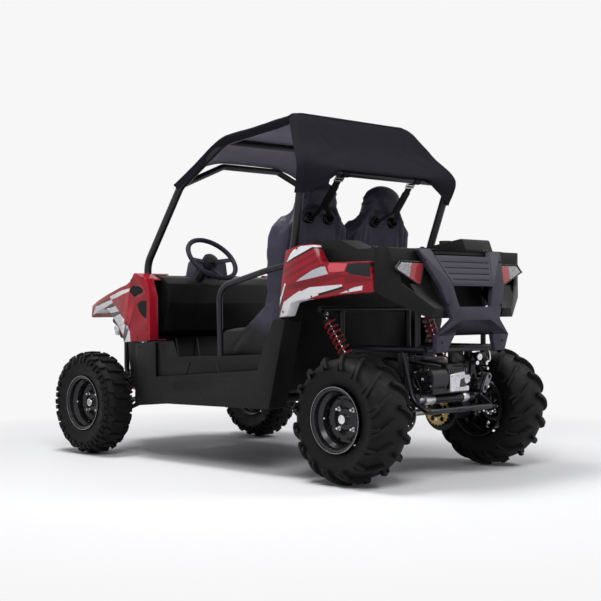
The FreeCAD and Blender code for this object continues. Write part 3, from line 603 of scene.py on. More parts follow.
def metal(name, colour, roughness, scale=60.0, bump=0.0003, spread=0.12, metallic=1.0):
    """Cast, turned or plated metal with uneven roughness."""
    finish = Finish(name, colour, roughness, metallic=metallic)
    cloud = finish.noise(scale, 5.0, 0.6)
    fine = finish.noise(scale * 14, 2.0)
    finish.send("Roughness", finish.span(cloud, 0.3, 0.7, max(roughness - spread, 0.03), roughness + spread))
    finish.send("Normal", finish.bump(fine, bump, 0.5))
    shade_by(finish, finish.span(cloud, 0.3, 0.7), 0.7, 1.1)
    return finish.material


def vinyl(name, colour):
    """Seat cover: grained leathercloth with pebbles and soft creases, with painted shade in the creases and near black
    painted shade over its lower part.
    """
    finish = Finish(name, colour, 0.42, specular_ior_level=0.25)
    pebble = finish.node("ShaderNodeTexVoronoi", {"feature": "SMOOTH_F1"},
                         {"Vector": finish.place, "Scale": 480.0, "Smoothness": 0.6})["Distance"]
    crease = finish.noise(16.0, 5.0, 0.6)
    first = finish.bump(crease, 0.004, 0.35)
    finish.send("Normal", finish.bump(pebble, 0.0006, 0.55, first))
    finish.send("Roughness", finish.span(crease, 0.3, 0.7, 0.34, 0.54))
    # Colour follows the crease bump: painted shade in the hollows of the creases and painted light on their rises.
    tone = finish.blend(finish.span(crease, 0.3, 0.75), scaled(colour, 0.7), scaled(colour, 1.35))
    # Below a slanted line the seat turns near black: painted shade over the lower front of the seat.
    lower_painted_shade = finish.span(finish.axis("Z") - finish.axis("X") * 0.35, 0.72, 0.8)
    finish.send("Base Color", finish.blend(lower_painted_shade, (0.004, 0.004, 0.005), tone))
    return finish.material


THREAD_PITCH = 0.0016


def woven(name, colour, depth, roughness, gloss=0.12):
    """Woven cloth: two crossing sets of threads in object space, which waver a little."""
    finish = Finish(name, colour, roughness, specular_ior_level=gloss)
    wobble = finish.noise(40.0, 2.0)
    across = finish.axis("X") + finish.axis("Z") * 0.6 + wobble * THREAD_PITCH
    along = finish.axis("Y") + wobble * THREAD_PITCH
    warp, weft = [finish.maths("SINE", way * (2 * math.pi / THREAD_PITCH)) for way in (across, along)]
    threads = finish.maths("MAXIMUM", warp, weft)
    broad = finish.noise(7.0, 5.0, 0.6)
    finish.send("Normal", finish.bump(threads, depth, 0.6))
    finish.send("Roughness", finish.span(broad, 0.3, 0.7, roughness - 0.08, roughness + 0.08))
    # Thread crowns painted lighter and the gaps between threads painted darker, which is painted light and shade, with
    # a broad random tone added on top.
    light = finish.span(threads, -0.6, 1.0, 0.0, 0.5) + finish.span(broad, 0.3, 0.75, 0.0, 0.5)
    shade_by(finish, light, 0.7, 1.35)
    return finish.material


def tail_lens():
    """Ribbed red lens with a clear silvery section at its outer end."""
    finish = Finish("tail_lens", (0.42, 0.008, 0.02), 0.14, specular_ior_level=0.6, coat_roughness=0.05)
    across = finish.maths("ABSOLUTE", finish.axis("Y"))
    edge = across + finish.axis("Z") * 0.25
    outer = finish.span(edge, 0.572, 0.5735)
    ribs = finish.maths("SINE", across * (2 * math.pi / 0.0052))
    facets = finish.node("ShaderNodeTexVoronoi", None, {"Vector": finish.place, "Scale": 150.0})["Distance"]
    # The red ribs and the silver facets get lighter and darker along with their own bumps: painted light and shade.
    rib_light_and_shade = finish.span(ribs, -1.0, 1.0, 0.35, 1.0)
    red = finish.blend(rib_light_and_shade, (0.13, 0.003, 0.008), (0.5, 0.01, 0.025))
    silver = finish.blend(finish.span(facets, 0.0, 0.7), (0.5, 0.5, 0.53), (0.2, 0.2, 0.22))
    finish.send("Base Color", finish.blend(outer, red, silver))
    finish.send("Metallic", outer * 0.7)
    finish.send("Coat Weight", 0.8 - outer * 0.2)
    finish.send("Normal", finish.bump(ribs * (1.0 - outer) + facets * outer, 0.001, 0.5))
    return finish.material


def head_lens():
    """Clear headlamp lens over a bright reflector with fine flutes."""
    finish = Finish("head_lens", (0.55, 0.56, 0.58), 0.1, specular_ior_level=0.6, coat_roughness=0.04, coat_weight=0.9)
    flutes = finish.maths("SINE", finish.axis("Y") * (2 * math.pi / 0.007))
    cloud = finish.noise(38.0, 2.0)
    finish.send("Base Color", finish.blend(finish.span(cloud, 0.35, 0.65), (0.25, 0.25, 0.27), (0.75, 0.76, 0.78)))
    finish.send("Metallic", finish.span(cloud, 0.35, 0.65, 0.3, 0.9))
    finish.send("Normal", finish.bump(flutes, 0.0012, 0.5))
    return finish.material


class UtvSizes(bpy.types.PropertyGroup):
    """Sizes that a user would change."""

    front_lug: bpy.props.FloatProperty(name="Front lug height", description="How far the front tyres' blocks stand up",
                                       default=0.013, unit="LENGTH")
    rear_lug: bpy.props.FloatProperty(name="Rear lug height", description="How far the rear tyres' bars stand up",
                                      default=0.02, unit="LENGTH")
    rear_tyre_width: bpy.props.FloatProperty(name="Rear tyre width", description="Width over one rear tyre",
                                             default=0.24, unit="LENGTH")
    spring_wire: bpy.props.FloatProperty(name="Spring wire", description="Radius of the shock springs' wire",
                                         default=0.0052, unit="LENGTH")
    panel_edge: bpy.props.FloatProperty(name="Panel edge", description="Rounding along the edges of moulded panels",
                                        default=0.0016, unit="LENGTH")


class UtvColours(bpy.types.PropertyGroup):
    """Colours that a user would change."""

    body: bpy.props.FloatVectorProperty(name="Body", description="Gloss body panels", subtype="COLOR",
                                        default=(0.33, 0.006, 0.018))
    plastic: bpy.props.FloatVectorProperty(name="Plastic", description="Black mouldings", subtype="COLOR",
                                           default=(0.0045, 0.0045, 0.005))
    guard: bpy.props.FloatVectorProperty(name="Guard", description="Grey rear guard and tailgate", subtype="COLOR",
                                         default=(0.036, 0.033, 0.05))
    tube: bpy.props.FloatVectorProperty(name="Tubes", description="Roll cage and frame", subtype="COLOR",
                                        default=(0.006, 0.006, 0.009))
    seat: bpy.props.FloatVectorProperty(name="Seats", description="Seat covers", subtype="COLOR",
                                        default=(0.038, 0.034, 0.06))
    cloth: bpy.props.FloatVectorProperty(name="Canopy", description="Canopy cloth", subtype="COLOR",
                                         default=(0.014, 0.0135, 0.018))
    spring: bpy.props.FloatVectorProperty(name="Springs", description="Shock springs", subtype="COLOR",
                                          default=(0.3, 0.012, 0.026))


def finish_recipes():
    """The maker of each finish with its material's name, its colour and its other settings."""
    colours = bpy.context.scene.utv_colours
    body, plastic, guard, tube = [tuple(getattr(colours, name)) for name in ("body", "plastic", "guard", "tube")]
    return {
        "plastic": (moulded, "black_moulding", plastic, 0.5),
        "plastic_gloss": (moulded, "satin_moulding", (0.0045, 0.0045, 0.005), 0.26),
        "guard": (moulded, "grey_moulding", guard, 0.48),
        "tube": (painted_tube, "cage_coat", tube, 0.36),
        "frame": (painted_tube, "frame_coat", tube, 0.45),
        "spring": (painted_tube, "spring_coat", tuple(colours.spring), 0.28),
        "panel": (gloss_panel, "red_panel", body),
        "quarter": (gloss_panel, "red_quarter", body, QUARTER_STRIPES, ((0.37, 0.93), 0.875, 1.0)),
        "fender": (gloss_panel, "red_fender", body, FENDER_STRIPES),
        "rubber": (rubber, "tyre_rubber"),
        "hose": (rubber, "hose_rubber", (0.009, 0.009, 0.01)),
        "grip": (rubber, "grip_rubber", (0.016, 0.015, 0.026)),
        "rim": (metal, "rim_paint", (0.013, 0.013, 0.015), 0.24, 30.0, 0.0001, 0.06, 0.35),
        # Bright steel ring on the black rims' outer lips: a painted highlight.
        "lip": (metal, "worn_lip", (0.35, 0.35, 0.37), 0.25, 30.0, 0.0001, 0.1, 0.8),
        "alloy": (metal, "cast_alloy", (0.2, 0.2, 0.22), 0.42, 50.0, 0.0005),
        "alloy_bright": (metal, "bright_alloy", (0.62, 0.62, 0.66), 0.4, 20.0, 0.0002, 0.08),
        "dark_metal": (metal, "dark_metal", (0.012, 0.012, 0.014), 0.36, 50.0, 0.0004, 0.1, 0.35),
        "exhaust_dark": (metal, "dark_exhaust", (0.022, 0.021, 0.025), 0.34, 40.0, 0.0004, 0.1, 0.6),
        "chrome": (metal, "chrome_nut", (0.75, 0.75, 0.77), 0.14, 60.0, 0.0001, 0.08),
        "steel": (metal, "turned_steel", (0.4, 0.39, 0.38), 0.32, 80.0, 0.0002),
        "zinc": (metal, "yellow_zinc", (0.45, 0.33, 0.13), 0.36, 40.0, 0.0003),
        "seat": (vinyl, "seat_vinyl", tuple(colours.seat)),
        "webbing": (woven, "strap_webbing", (0.005, 0.005, 0.006), 0.0002, 0.6),
        "cloth": (woven, "canopy_weave", tuple(colours.cloth), 0.0001, 0.8, 0.03),
        # The canopy's underside: its black cloth painted a light purple grey, standing in for the light that comes
        # through the cloth and its sheen.
        "lining": (woven, "roof_lining", (0.2, 0.195, 0.25), 0.0002, 0.7),
        "tail_lamp": (tail_lens,),
        "head_lamp": (head_lens,),
    }


FINISHES = {}


def finish_named(name):
    """The material of that name, made the first time that it is asked for."""
    if name not in FINISHES:
        maker, *settings = finish_recipes()[name]
        FINISHES[name] = maker(*settings)
    return FINISHES[name]


def paint(finish, *nodes):
    """Gives CAD nodes that stay their material."""
    for node in nodes:
        mesh = NODES[node].data
        for i in range(max(len(mesh.materials), 1)):
            if i < len(mesh.materials):
                mesh.materials[i] = finish_named(finish)
            else:
                mesh.materials.append(finish_named(finish))


# Tyres
TREAD_ROOT = 0.006
LUG_TAPER = 0.8
FRONT_PITCHES = 22
REAR_PITCHES = 16


def carcass_point(t, radius, half_width, flat):
    """Point (radius, along) on a tyre's outer skin. t goes from -1, the inner bead, to 1, the outer one."""
    angle = math.pi / 2 * t
    bead = RIM_LIP_RADIUS + 0.004
    rise = (radius - bead) * abs(math.cos(angle)) ** flat
    out = half_width * math.copysign(abs(math.sin(angle)) ** (flat * 0.95), t)
    pinch = 1.0 - 0.22 * max(abs(t) - 0.72, 0.0) / 0.28
    return bead + rise, out * pinch


def carcass(centre, shape):
    """Rounded tyre body without its lugs, from bead to bead."""
    count = 33
    skin = [carcass_point(-1 + 2 * i / (count - 1), *shape) for i in range(count)]
    bead = RIM_LIP_RADIUS + 0.002
    inner = [(bead, skin[-1][1] - 0.012), (bead + 0.03, skin[-1][1] - 0.02),
             (bead + 0.03, skin[0][1] + 0.02), (bead, skin[0][1] + 0.012)]
    return lathe(skin + inner, centre, steps=96)


def unit_block(cuts):
    """Block from -0.5 to 0.5 across, 0 to 1 along and 0 to 1 high, cut across its length."""
    bpy.ops.mesh.primitive_cube_add(size=1, location=(0, 0.5, 0.5))
    obj = settle(bpy.context.object)
    ends = obj.data.vertices
    choose(obj, "edges", lambda edge: abs(ends[edge.vertices[0]].co.y - ends[edge.vertices[1]].co.y) > 0.5)
    with editing(obj, "EDGE", everything=False):
        bpy.ops.mesh.subdivide(number_cuts=cuts)
    return obj


def lug(unit, centre, shape, angle, start, end, sweep, width, height):
    """One tread lug: a block laid on the carcass from one section place to another."""
    twin = duplicate(unit, Matrix.Identity(4))
    for vertex in twin.data.vertices:
        across, along, up = vertex.co
        t = start + (end - start) * along
        r, y = carcass_point(t, *shape)
        r2, y2 = carcass_point(t + 0.01, *shape)
        normal = Vector((y2 - y, -(r2 - r))).normalized()
        lift = -TREAD_ROOT if up < 0.5 else height
        wide = width * (1.0 if up < 0.5 else LUG_TAPER)
        turn = angle + sweep * along + across * wide / max(r, 0.1)
        r += normal.x * lift
        y += normal.y * lift
        vertex.co = centre + Vector((r * math.sin(turn), y, r * math.cos(turn)))
    return twin


def tyre(bare, centre, shape, lugs, edge, name, body, node):
    """Joins lugs to the bare carcass, from rows of (block, angle, start, end, sweep, width, height)."""
    pieces = [bare] + [lug(unit, centre, shape, *numbers) for unit, *numbers in lugs]
    for unit in {row[0].name: row[0] for row in lugs}.values():
        bpy.data.objects.remove(unit)
    done(soften(joined(pieces), edge, 1, 40), name, "rubber", [node], body)


def front_tyre(side, word):
    tall = bpy.context.scene.utv_sizes.front_lug
    centre = Vector((FRONT_HUB.x, FRONT_HUB.y * side, FRONT_HUB.z))
    shape = (FRONT_RADIUS - tall, FRONT_HALF_WIDTH - 0.004, 0.62)
    bare = carcass(centre, shape)
    short = unit_block(1)
    half = math.pi / FRONT_PITCHES
    lugs = []
    for angle in turns(FRONT_PITCHES):
        for way in (-1, 1):
            lugs += [(short, angle, way * 0.44, way * 0.74, 0.0, 0.023, tall * 0.8),
                     (short, angle + half, way * 0.5, way * 0.68, 0.0, 0.02, tall * 0.9),
                     (short, angle + half, way * 0.19, way * 0.42, 0.03 * way, 0.027, tall)]
        lugs.append((short, angle, -0.16, 0.16, 0.05, 0.026, tall))
    tyre(bare, centre, shape, lugs, 0.0014, "front_tyre_" + word, "front_wheel_" + word, "tyre_front_" + word)


def rear_tyre(side, word):
    sizes = bpy.context.scene.utv_sizes
    half_width, tall = sizes.rear_tyre_width / 2, sizes.rear_lug
    centre = Vector((REAR_HUB.x, side * (REAR_OUTER_Y - half_width), REAR_HUB.z))
    shape = (REAR_RADIUS - tall, half_width - 0.006, 0.6)
    bare = carcass(centre, shape)
    bar, short = unit_block(7), unit_block(2)
    lugs = []
    for way, lag in ((-1, math.pi / REAR_PITCHES), (1, 0.0)):
        for angle in turns(REAR_PITCHES, lag + 0.011 / REAR_RADIUS):
            lugs += [(bar, angle, way * 0.02, way * 0.7, -0.3, 0.022, tall),
                     (short, angle - 0.13, way * 0.42, way * 0.72, -0.06, 0.017, tall * 0.9)]
    tyre(bare, centre, shape, lugs, 0.0016, "rear_tyre_" + word, "rear_wheels", "rear_tyres")


# Rims
RIM_WALL = 0.004
HOLE_CIRCLE = 0.0955
NUT_CIRCLE = 0.058


def rim(hub, outer_y, inner_y, dish, side, hub_radius, body, name, node):
    """Pressed steel wheel: rolled lips, stepped barrel, dished disc with holes, its nuts, and a bright ring on the
    outer lip as a painted highlight.
    """
    lip = RIM_LIP_RADIUS
    half = (outer_y - inner_y) / 2
    centre = Vector((hub.x, (outer_y + inner_y) / 2 * side, hub.z))
    outside = [(lip, half), (lip, half - 0.004), (lip - 0.012, half - 0.008), (lip - 0.014, half - 0.03),
               (lip - 0.03, half - 0.044), (lip - 0.03, -half + 0.05), (lip - 0.014, -half + 0.034),
               (lip - 0.012, -half + 0.008), (lip, -half + 0.004), (lip, -half)]
    inside = [(r - RIM_WALL, y) for r, y in outside[::-1]]
    face = half - dish
    plate = [(hub_radius, face + 0.006), (0.044, face + 0.006), (0.05, face), (0.075, face - 0.004),
             (0.09, face + 0.008), (0.101, face + 0.008), (lip - 0.033, face - 0.004),
             (lip - 0.033, face - 0.009), (0.1, face + 0.002), (0.09, face + 0.002), (0.075, face - 0.01),
             (0.05, face - 0.006), (0.044, face), (hub_radius, face)]
    top = centre + Vector((0, face * side, 0))
    holes = [rod(spot - Vector((0, 0.03 * side, 0)), spot + Vector((0, 0.03 * side, 0)), 0.0085, 14)
             for spot in around(top, HOLE_CIRCLE, 8, math.pi / 8)]
    disc = cut_by(lathe([(r, y * side) for r, y in plate], centre), joined(holes))
    wheel = soften(joined([lathe(outside + inside, centre), disc]), 0.0008, 2, 35)
    done(wheel, name, "rim", [node], body)
    # Thin bright ring on the outer lip: a painted highlight where the light catches the rim's edge.
    bead = lathe([(lip - 0.0026, half + 0.0002), (lip - 0.0006, half + 0.0002), (lip - 0.0006, half - 0.001),
                  (lip - 0.0026, half - 0.001)], centre, steps=96)
    bead.data.transform(Matrix.Translation((0, (side - 1) * half, 0)))
    done(bead, name + "_lip", "lip", body=body)
    nuts = []
    for spot in around(top - Vector((0, 0.002 * side, 0)), NUT_CIRCLE, 4, math.pi / 4):
        nuts += [hex_bolt(spot, (0, side, 0), 0.0125, 0.015), rod(spot, spot + Vector((0, 0.021 * side, 0)), 0.005, 10)]
    cap = lathe([(0.0, 0.0), (0.024, 0.0), (0.024, 0.016), (0.019, 0.024), (0.0, 0.026)],
                top + Vector((0, 0.006 * side, 0)), axis=(0, side, 0), steps=32)
    stem = rod(top + Vector((lip - 0.035, 0.01 * side, 0)), top + Vector((lip - 0.045, 0.038 * side, 0)), 0.0035, 10)
    done(joined(nuts + [cap, stem]), name + "_nuts", "chrome", body=body)


def dressed(node, finish, edge=None):
    """Replaces a node with a copy whose edges are rounded."""
    edge = bpy.context.scene.utv_sizes.panel_edge if edge is None else edge
    return done(from_node(node, edge), node + "_shell", finish, [node])


# Canopy
CAGE_R = 0.019
WRAP = 0.0315
SNUG = 0.0222
ROOF_REAR = Vector((-0.44, 0.378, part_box("rear_hoop")[1].z - CAGE_R))
KNEE = Vector((-0.623, 0.508, ROOF_REAR.z - 0.244))
POST = Vector((-0.591, 0.494, KNEE.z - 0.113))
ROOF_FRONT = Vector((0.049, 0.384, ROOF_REAR.z - 0.057))
BROW = Vector((0.278, 0.476, ROOF_FRONT.z - 0.205))
CLOTH_THICKNESS = 0.0013


def round_tube(centre, reach, *ways):
    """Points on the cloth round a cage tube, one for each way out from its centre."""
    return [centre + Vector(way).normalized() * reach for way in ways]


def canopy_rows():
    """Half sections of the cloth from its rear hem to its front hem, each from the side to the middle."""
    back = KNEE.x - 0.03
    hem = round_tube(POST, WRAP, (0.1, 1, 0), (-0.75, 0.7, 0), (-1, -0.1, 0))
    hem += [Vector(p) for p in ((back + 0.006, 0.42, KNEE.z - 0.078), (back, 0.352, KNEE.z - 0.04),
                                (back, 0.292, KNEE.z - 0.007), (back + 0.002, 0.146, KNEE.z - 0.01),
                                (back + 0.003, 0.0, KNEE.z - 0.008))]
    knee = round_tube(KNEE, WRAP, (0.2, 0.95, 0.1), (-0.6, 0.75, 0.2), (-1, 0.1, 0.3))
    knee += [Vector((back + 0.001, y, KNEE.z + 0.012)) for y in (0.42, 0.352, 0.292, 0.146, 0.0)]
    rear_top = round_tube(ROOF_REAR, WRAP, (0.25, 0.95, -0.1), (-0.3, 0.85, 0.2), (-0.6, 0.7, 0.45))
    rear_top += [Vector((ROOF_REAR.x - 0.77 * SNUG, y, ROOF_REAR.z + 0.68 * SNUG))
                 for y in (0.345, 0.29, 0.22, 0.11, 0)]
    crest = round_tube(ROOF_REAR + Vector((0.035, 0, -0.004)), WRAP, (0, 0.62, -0.78), (0, 1, -0.1), (0, 0.88, 0.5))
    crest += [Vector((ROOF_REAR.x + 0.014, y, ROOF_REAR.z + SNUG + 0.001)) for y in (0.355, 0.29, 0.22, 0.11, 0)]
    front_top = round_tube(ROOF_FRONT, WRAP, (0, 0.62, -0.78), (0, 1, -0.1), (0, 0.88, 0.5))
    front_top += [Vector((ROOF_FRONT.x, y, ROOF_FRONT.z + SNUG)) for y in (0.362, 0.3, 0.22, 0.11, 0)]
    half_way = ROOF_FRONT.lerp(BROW, 0.56)
    front_mid = round_tube(half_way, WRAP, (-0.3, 0.62, -0.72), (0.1, 1, -0.15), (0.3, 0.9, 0.35))
    front_mid += [Vector((half_way.x + 0.004, y, ROOF_FRONT.z + z)) for y, z in
                  ((0.385, -0.052), (0.33, -0.022), (0.24, -0.016), (0.12, -0.012), (0.0, -0.011))]
    front_hem = round_tube(BROW, WRAP, (-0.3, 0.8, -0.5), (0.1, 1, 0), (0.5, 0.8, 0.4))
    front_hem += [Vector((BROW.x + x, y, BROW.z + z)) for x, y, z in
                  ((0.022, 0.41, 0.06), (0.027, 0.31, 0.112), (0.03, 0.2, 0.14), (0.031, 0.1, 0.144),
                   (0.032, 0.0, 0.145))]
    behind = [a.lerp(b, 0.5) + Vector((0.009, 0, -0.004)) * (i > 2) for i, (a, b) in enumerate(zip(knee, rear_top))]
    sagging = [a.lerp(b, 0.5) - Vector((0, 0, 0.008)) * (i > 3) for i, (a, b) in enumerate(zip(crest, front_top))]
    return [hem, knee, behind, rear_top, crest, sagging, front_top, front_mid, front_hem]


def crease(place, start, end, width):
    """Height from 0 to 1 of a crease along a straight line, which fades towards its ends."""
    way = end - start
    share = max(0.0, min(1.0, (place - start).dot(way) / way.length_squared))
    off = (place - start - way * share).length
    return math.exp(-(off / width) ** 2) * math.sin(math.pi * min(share + 0.08, 1.0))


def canopy_creases(side):
    """Creases on one side, each with its start, its end and its width."""
    corner = Vector((ROOF_REAR.x, side * 0.36, ROOF_REAR.z))
    knee = Vector((KNEE.x - 0.03, side * 0.5, KNEE.z))
    rows = ((corner, (-0.63, 0.2, 1.41), 0.014), (knee, (-0.52, 0.06, 1.52), 0.016),
            (knee, (-0.5, 0.34, 1.55), 0.012), (corner, (-0.64, 0.42, 1.37), 0.012),
            (knee, (-0.62, 0.44, 1.29), 0.01), (Vector((-0.4, side * 0.37, ROOF_REAR.z)), (-0.1, 0.1, 1.61), 0.016),
            (Vector((0.06, side * 0.37, 1.57)), (0.27, 0.2, 1.5), 0.014),
            (Vector((0.1, side * 0.42, 1.52)), (0.28, 0.3, 1.46), 0.012))
    return [(start, Vector((x, side * y, z)), width) for start, (x, y, z), width in rows]


def canopy_cloth():
    rows = [half + [Vector((p.x, -p.y, p.z)) for p in half[-2::-1]] for half in canopy_rows()]
    cloth = loft(rows, 84, 92)
    top = max(cloth.data.polygons, key=lambda face: face.center.z)
    if top.normal.z < 0:
        cloth.data.flip_normals()
    lines = canopy_creases(1) + canopy_creases(-1)
    normals = [vertex.normal.copy() for vertex in cloth.data.vertices]
    for vertex, normal in zip(cloth.data.vertices, normals):
        place = vertex.co.copy()
        rise = 0.0035 * sum(crease(place, *line) for line in lines)
        rise += 0.0035 * abs(noise.noise(place * 7.0)) + 0.0012 * abs(noise.noise(place * 26.0))
        vertex.co = place + normal * min(rise, 0.008)
    cloth.data.update()
    # One face of the cloth gets the underside's painted light, and the other gets the black cloth.
    for finish in ("lining", "cloth"):
        cloth.data.materials.append(finish_named(finish))
    refine(cloth, "SOLIDIFY", thickness=CLOTH_THICKNESS, offset=-1, material_offset=1, material_offset_rim=1)
    done(face_out(cloth), "canopy_cloth", None, ["canopy"], smooth=60)
    edges = [pipe([smooth_through(row, t * (len(row) - 1) / 60) for t in range(61)], 0.0022, 2)
             for row in (rows[0], rows[-1])]
    hem = done(joined(edges), "canopy_hem", "cloth")


# Seats and belts
SEAT_Y = middle("seat_left").y
SEAT_BACK_SLOPE = 0.142
PAD_VOXEL = 0.009
PAD_CAP = 0.008
BELT_HOLE = (0.062, 1.168)
HOLE_OUTLINE = [(-0.03, -0.014), (-0.026, 0.012), (-0.006, 0.022), (0.022, 0.017), (0.03, 0.0), (0.012, -0.019)]
CROSS_SEAMS = (0.74, 0.83, 0.92, 1.01, 1.1)
CUSHION_SEAMS = (-0.2, -0.12, -0.04)
SIDE_SEAM = 0.118


def seat_back(z):
    """Place along X of the seat's rear face."""
    return -0.35 - (z - 0.515) * SEAT_BACK_SLOPE


def swell(pad, pinned):
    """Blows the pad up with cloth under pressure, and caps how far each point has moved."""
    before = [vertex.co.copy() for vertex in pad.data.vertices]
    held = pad.vertex_groups.new(name="held")
    held.add([v.index for v in pad.data.vertices if pinned(v.co)], 1.0, "REPLACE")
    pick(pad)
    modifier = pad.modifiers.new("Cloth", "CLOTH")
    settings = modifier.settings
    settings.use_pressure = True
    settings.uniform_pressure_force = 4.0
    settings.effector_weights.gravity = 0.0
    settings.vertex_group_mass = "held"
    settings.tension_stiffness = 25.0
    settings.compression_stiffness = 20.0
    settings.quality = 3
    modifier.collision_settings.use_collision = False
    for number in range(1, 21):
        bpy.context.scene.frame_set(number)
    bpy.ops.object.modifier_apply(modifier=modifier.name)
    for vertex, old in zip(pad.data.vertices, before):
        move = vertex.co - old
        if move.length > PAD_CAP:
            vertex.co = old + move * (PAD_CAP / move.length)
    pad.vertex_groups.clear()
    bpy.context.scene.frame_set(1)


def near_belt_hole(place, reach):
    hole_y, hole_z = BELT_HOLE
    return any(math.hypot(place.y - SEAT_Y - way * hole_y, place.z - hole_z) < reach for way in (-1, 1))


def belt_hole_outline(way, grow=1.0):
    """Outline (y, z) of one of the two belt holes."""
    return [(SEAT_Y + way * (BELT_HOLE[0] - y * grow), BELT_HOLE[1] + z * grow) for y, z in HOLE_OUTLINE]


def ridge(off, width):
    """1 on a line, and less the farther off it."""
    return math.exp(-(off / width) ** 2)


def seam_depth(place):
    """How deep the stitching pulls the cover in at a place."""
    off = abs(place.y - SEAT_Y)
    depth = place.x - seat_back(place.z)
    if depth < 0.02:
        return 0.003 * ridge(off - 0.15 + 0.32 * max(place.z - 1.19, 0), 0.005)
    if depth <= 0.045:
        return 0.0
    seam = 0.004 * ridge(off - SIDE_SEAM, 0.0045)
    if off < SIDE_SEAM:
        seam = max([seam] + [0.0045 * ridge(place.z - z, 0.005) for z in CROSS_SEAMS])
        if place.z < 0.68:
            seam = max([seam] + [0.0045 * ridge(place.x - x, 0.005) for x in CUSHION_SEAMS])
    return seam


def seat_pad():
    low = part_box("seat_left")[0]
    pad = from_node("seat_left", 0)
    plugs = [block((-0.5, SEAT_Y + way * 0.07 - 0.036, 1.144), (-0.3, SEAT_Y + way * 0.07 + 0.036, 1.19))
             for way in (-1, 1)]
    for plug in plugs:
        for vertex in plug.data.vertices:
            back = vertex.co.x < -0.4
            vertex.co.x = seat_back(vertex.co.z) + (0.0 if back else 0.078 + 0.1 * (1.12 - vertex.co.z))
    pad = joined([pad] + plugs)
    refine(pad, "DISPLACE", strength=-0.004, mid_level=0.0)
    refine(pad, "REMESH", mode="VOXEL", voxel_size=PAD_VOXEL)
    refine(pad, "SMOOTH", factor=0.5, iterations=3)
    for way in (-1, 1):
        cut_by(pad, outline_solid(belt_hole_outline(way), "x", -0.7, -0.1))
    swell(pad, lambda p: p.z < low.z + 0.03 or near_belt_hole(p, 0.05))
    refine(pad, "SUBSURF", levels=1, render_levels=1)
    for vertex in pad.data.vertices:
        off = abs(vertex.co.y - SEAT_Y)
        head = max(0.0, min(1.0, (vertex.co.z - 1.25) / 0.1))
        vertex.co.z -= 0.034 * head * min(off / 0.1, 1.2) ** 2.2
    normals = [vertex.normal.copy() for vertex in pad.data.vertices]
    for vertex, normal in zip(pad.data.vertices, normals):
        vertex.co = vertex.co - normal * seam_depth(vertex.co)
    for piece in mirrored_pair(pad, "seat_{}_pad", "seat", "seat", 70):
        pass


def belt_bezels():
    """Moulded rings round the belt holes in the seat backs."""
    rings = [pipe([(seat_back(z) - out, y, z) for y, z in belt_hole_outline(way, grow)], radius, 5, closed=True)
             for way in (-1, 1) for grow, radius, out in ((1.0, 0.0045, 0.003), (1.32, 0.003, -0.003))]
    done(with_mirror(joined(rings)), "belt_hole_rings", "plastic_gloss")


BELT_TOP = Vector((-0.611, 0.247, 1.363))
BELT_FORK = Vector((-0.494, 0.251, 1.216))


def strap_frame(share):
    """Matrix that puts a flat piece on the shoulder strap: X across, Y along, Z out of its face."""
    along = (BELT_FORK - BELT_TOP).normalized()
    across = Vector((0, 1, 0))
    out = along.cross(across).normalized()
    turn = Matrix((across, along, out)).transposed().to_4x4()
    return Matrix.Translation(BELT_TOP.lerp(BELT_FORK, share)) @ turn


def belt_fittings():
    """Adjusters, loops round the belt bar and sleeves on the shoulder straps."""
    ring = block((-0.03, -0.016, -0.003), (0.03, 0.016, 0.003))
    for low, high in ((-0.011, -0.002), (0.002, 0.011)):
        cut_by(ring, block((-0.0235, low, -0.01), (0.0235, high, 0.01)))
    soften(ring, 0.0012, 2)
    ring.data.transform(strap_frame(0.14))
    done(with_mirror(ring), "belt_adjusters", "chrome")
    loop = lathe([(0.0164, -0.022), (0.0164, 0.022), (0.0192, 0.022), (0.0192, -0.022)],
                 (KNEE.x - 0.004, BELT_TOP.y, KNEE.z - 0.012), steps=32)
    tongue = block((-0.022, -0.012, -0.002), (0.022, 0.03, 0.002))
    tongue.data.transform(strap_frame(0.0))
    sleeve = soft_block((-0.026, 0.0, -0.0035), (0.026, 0.115, 0.0035), 0.003, 3)
    sleeve.data.transform(strap_frame(0.36))
    done(with_mirror(joined([loop, tongue, sleeve])), "belt_loops", "webbing")


def ribbon(rows):
    """Flat strap skinned over rows of points, with a little thickness."""
    strap = loft(rows, 8 * (len(rows) - 1), len(rows[0]) * 2)
    return face_out(refine(strap, "SOLIDIFY", thickness=0.0024, offset=0, use_even_offset=True))


def harness():
    """One strap down from the belt bar, which parts in two behind the seat and goes through its holes."""
    hole_y, hole_z = BELT_HOLE
    hole_x = seat_back(hole_z)
    fork = Vector((-0.494, SEAT_Y + 0.026, 1.216))
    top = Vector((KNEE.x + 0.012, SEAT_Y + 0.022, KNEE.z - 0.012))
    wide = Vector((0, 0.022, 0))
    mid = top.lerp(fork, 0.5) + Vector((0.002, 0, -0.002))
    straps = [ribbon([[p - wide, p, p + wide] for p in (top, mid, fork)])]
    for side in (1, -1):
        y = SEAT_Y + side * hole_y
        inner = fork + Vector((-0.004, -side * 0.004, 0.006))
        rows = [[inner, inner + Vector((0, side * 0.013, 0)), inner + Vector((0, side * 0.026, 0))]]
        for x, z, w in ((hole_x - 0.012, hole_z + 0.004, 0.019), (hole_x + 0.06, hole_z + 0.003, 0.019),
                        (hole_x + 0.1, hole_z - 0.004, 0.019), (seat_back(1.0) + 0.104, 1.0, 0.021),
                        (seat_back(0.85) + 0.104, 0.85, 0.022), (seat_back(0.7) + 0.104, 0.7, 0.022)):
            rows.append([Vector((x, y - side * w, z)), Vector((x, y, z)), Vector((x, y + side * w, z))])
        straps.append(ribbon(rows))
    done(with_mirror(joined(straps)), "shoulder_straps", "webbing", ["harnesses"], smooth=50)


